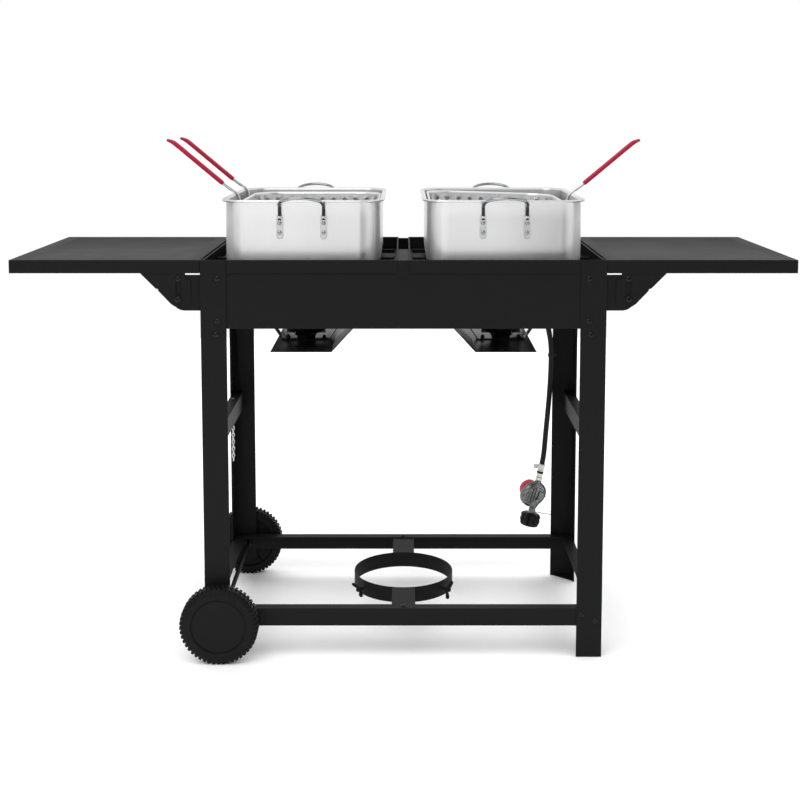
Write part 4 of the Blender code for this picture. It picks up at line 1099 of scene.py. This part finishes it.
def valve_knob(side, x_name):
    node = f"valve_knob_{x_name}"
    profile = [(0, 0.019), (0.011, 0.019), (0.014, 0.0183), (0.0158, 0.0165), (0.0168, 0.012),
               (0.0178, 0.0035), (0.018, 0.0012), (0.0174, 0), (0.0043, 0), (0.0043, 0.01), (0, 0.01)]
    bm = bmesh.new()
    loft(bm, [circle(r, z, 72, 9, 0.0016 if 0.004 < z < 0.018 and r > 0.01 else 0.0, 0.5)
              for r, z in profile], caps=(False, False))
    place = Matrix.Translation((side * VALVE_X, MANIFOLD_Y + 0.0175, VALVE_Z))
    bm.transform(place @ Matrix.Rotation(math.radians(-90), 4, "X"))
    stand_in(node + "_cap", bm, "red_plastic", node, 32)
    mark = block((side * VALVE_X - 0.0008, MANIFOLD_Y + 0.0366, VALVE_Z + 0.003),
                 (side * VALVE_X + 0.0008, MANIFOLD_Y + 0.0369, VALVE_Z + 0.012))
    piece(node + "_mark", mark, "plated_brass", BODY_OF[node], material=MATERIALS["tag"])


def manifold():
    """Supply pipe with end plugs, valve bodies with hexagons, and the hose inlet elbow."""
    bm = bmesh.new()
    end = VALVE_X + 0.012
    pipe = [(0, -end), (0.007, -end), (0.0092, -end + 0.001), (0.0092, -end + 0.01),
            (0.008, -end + 0.011), (0.008, end - 0.011), (0.0092, end - 0.01), (0.0092, end - 0.001),
            (0.007, end), (0, end)]
    add(bm, lathe(pipe, 28), along((1, 0, 0), (0, MANIFOLD_Y, MANIFOLD_Z)))
    stand_in("supply_pipe", bm, "cast_iron", "gas_manifold")
    brass = bmesh.new()
    body = [(0, 0.0495), (0.0078, 0.0495), (0.0092, 0.048), (0.0092, 0.044), (0.008, 0.0425),
            (0.008, 0.016), (0.0095, 0.015), (0.0095, -0.006), (0.0075, -0.009), (0, -0.009)]
    stem = [(0, -0.02), (0.0045, -0.02), (0.0045, -0.013), (0.0062, -0.0125), (0.0062, -0.006),
            (0.007, -0.005), (0.007, 0.008), (0.0058, 0.01), (0.0058, 0.015), (0.004, 0.016),
            (0.004, 0.026), (0, 0.0265)]
    flats = [(0.01, 0.018), (0.0112, 0.019), (0.0112, 0.027), (0.01, 0.028)]
    for side, _ in SIDES:
        spot = (side * VALVE_X, MANIFOLD_Y, VALVE_Z)
        add(brass, lathe(body, 24), Matrix.Translation(spot))
        add(brass, lathe(stem, 24), along((0, 1, 0), spot))
        add(brass, hexagon(flats), Matrix.Translation(spot))
    first = Vector((HOSE_ROUTE[0][0], HOSE_Y, HOSE_ROUTE[0][1]))
    elbow = [(first.x - 0.03, MANIFOLD_Y, MANIFOLD_Z),
             (first.x - 0.03, MANIFOLD_Y - 0.01, first.z - 0.001),
             (first.x - 0.026, HOSE_Y, first.z), (first.x - 0.014, HOSE_Y, first.z)]
    tube(smooth_route(elbow, 0.002), 0.007, 20, brass)
    inlet = [(0, -0.015), (0.006, -0.015), (0.0078, -0.014), (0.0078, -0.009), (0.007, -0.008),
             (0.0072, -0.002), (0.0066, -0.0003), (0, -0.0003)]
    add(brass, lathe(inlet, 28), along((1, 0, 0), first))
    piece("valve_brass", brass, "plated_brass", "frame", 38, weld=0)


def chain():
    """Small steel chain hanging from the left middle rail."""
    bm = bmesh.new()
    x, y, top = CHAIN_TOP
    for k in range(CHAIN_LINKS):
        turned = Matrix.Rotation(math.radians(90 * (k % 2) + 20), 4, "Z")
        middle = Vector((x, y, top - k * CHAIN_PITCH))
        tube([turned @ Vector((0.0027 * math.cos(a), 0.0, 0.0058 * math.sin(a))) + middle
              for a in (2 * math.pi * i / 16 for i in range(17))], 0.001, 8, bm)
    piece("hanging_chain", bm, "wire_steel", "frame", 60)


camera()
lights()
studio()
floor()
hose, hose_length = gas_hose()
hanging = regulator() + hose_extras()
for node, obj in NODES.items():
    first = obj.data.materials[0].name.split(".")[0]
    if first in MATERIALS:
        obj.material_slots[0].material = MATERIALS[first]
    if first == "black_coat" and not node.startswith(("wing", "wheel")) \
            and node not in ("shelf_left", "shelf_right"):
        sheet_metal(node, 0.0011 if node.startswith("tray") else 0.0005)
frame_screws()
tray_hems()
axle_nuts()
shield_bolts()
manifold()
chain()
for side, x_name in SIDES:
    shelf(side, x_name)
    wing_screw(side, x_name)
    pot(side, x_name)
    basket(side, x_name)
    burner(side, x_name)
    valve_knob(side, x_name)
    for end, y_name in ENDS:
        pot_handle(side, x_name, end, y_name)
for end, y_name in ENDS:
    wheel(end, y_name)
basket_handle(-1, -1, "basket_handle_left_front")
basket_handle(-1, 1, "basket_handle_left_rear")
basket_handle(1, -1, "basket_handle_right")

bpy.context.scene.view_settings.view_transform = "Standard"
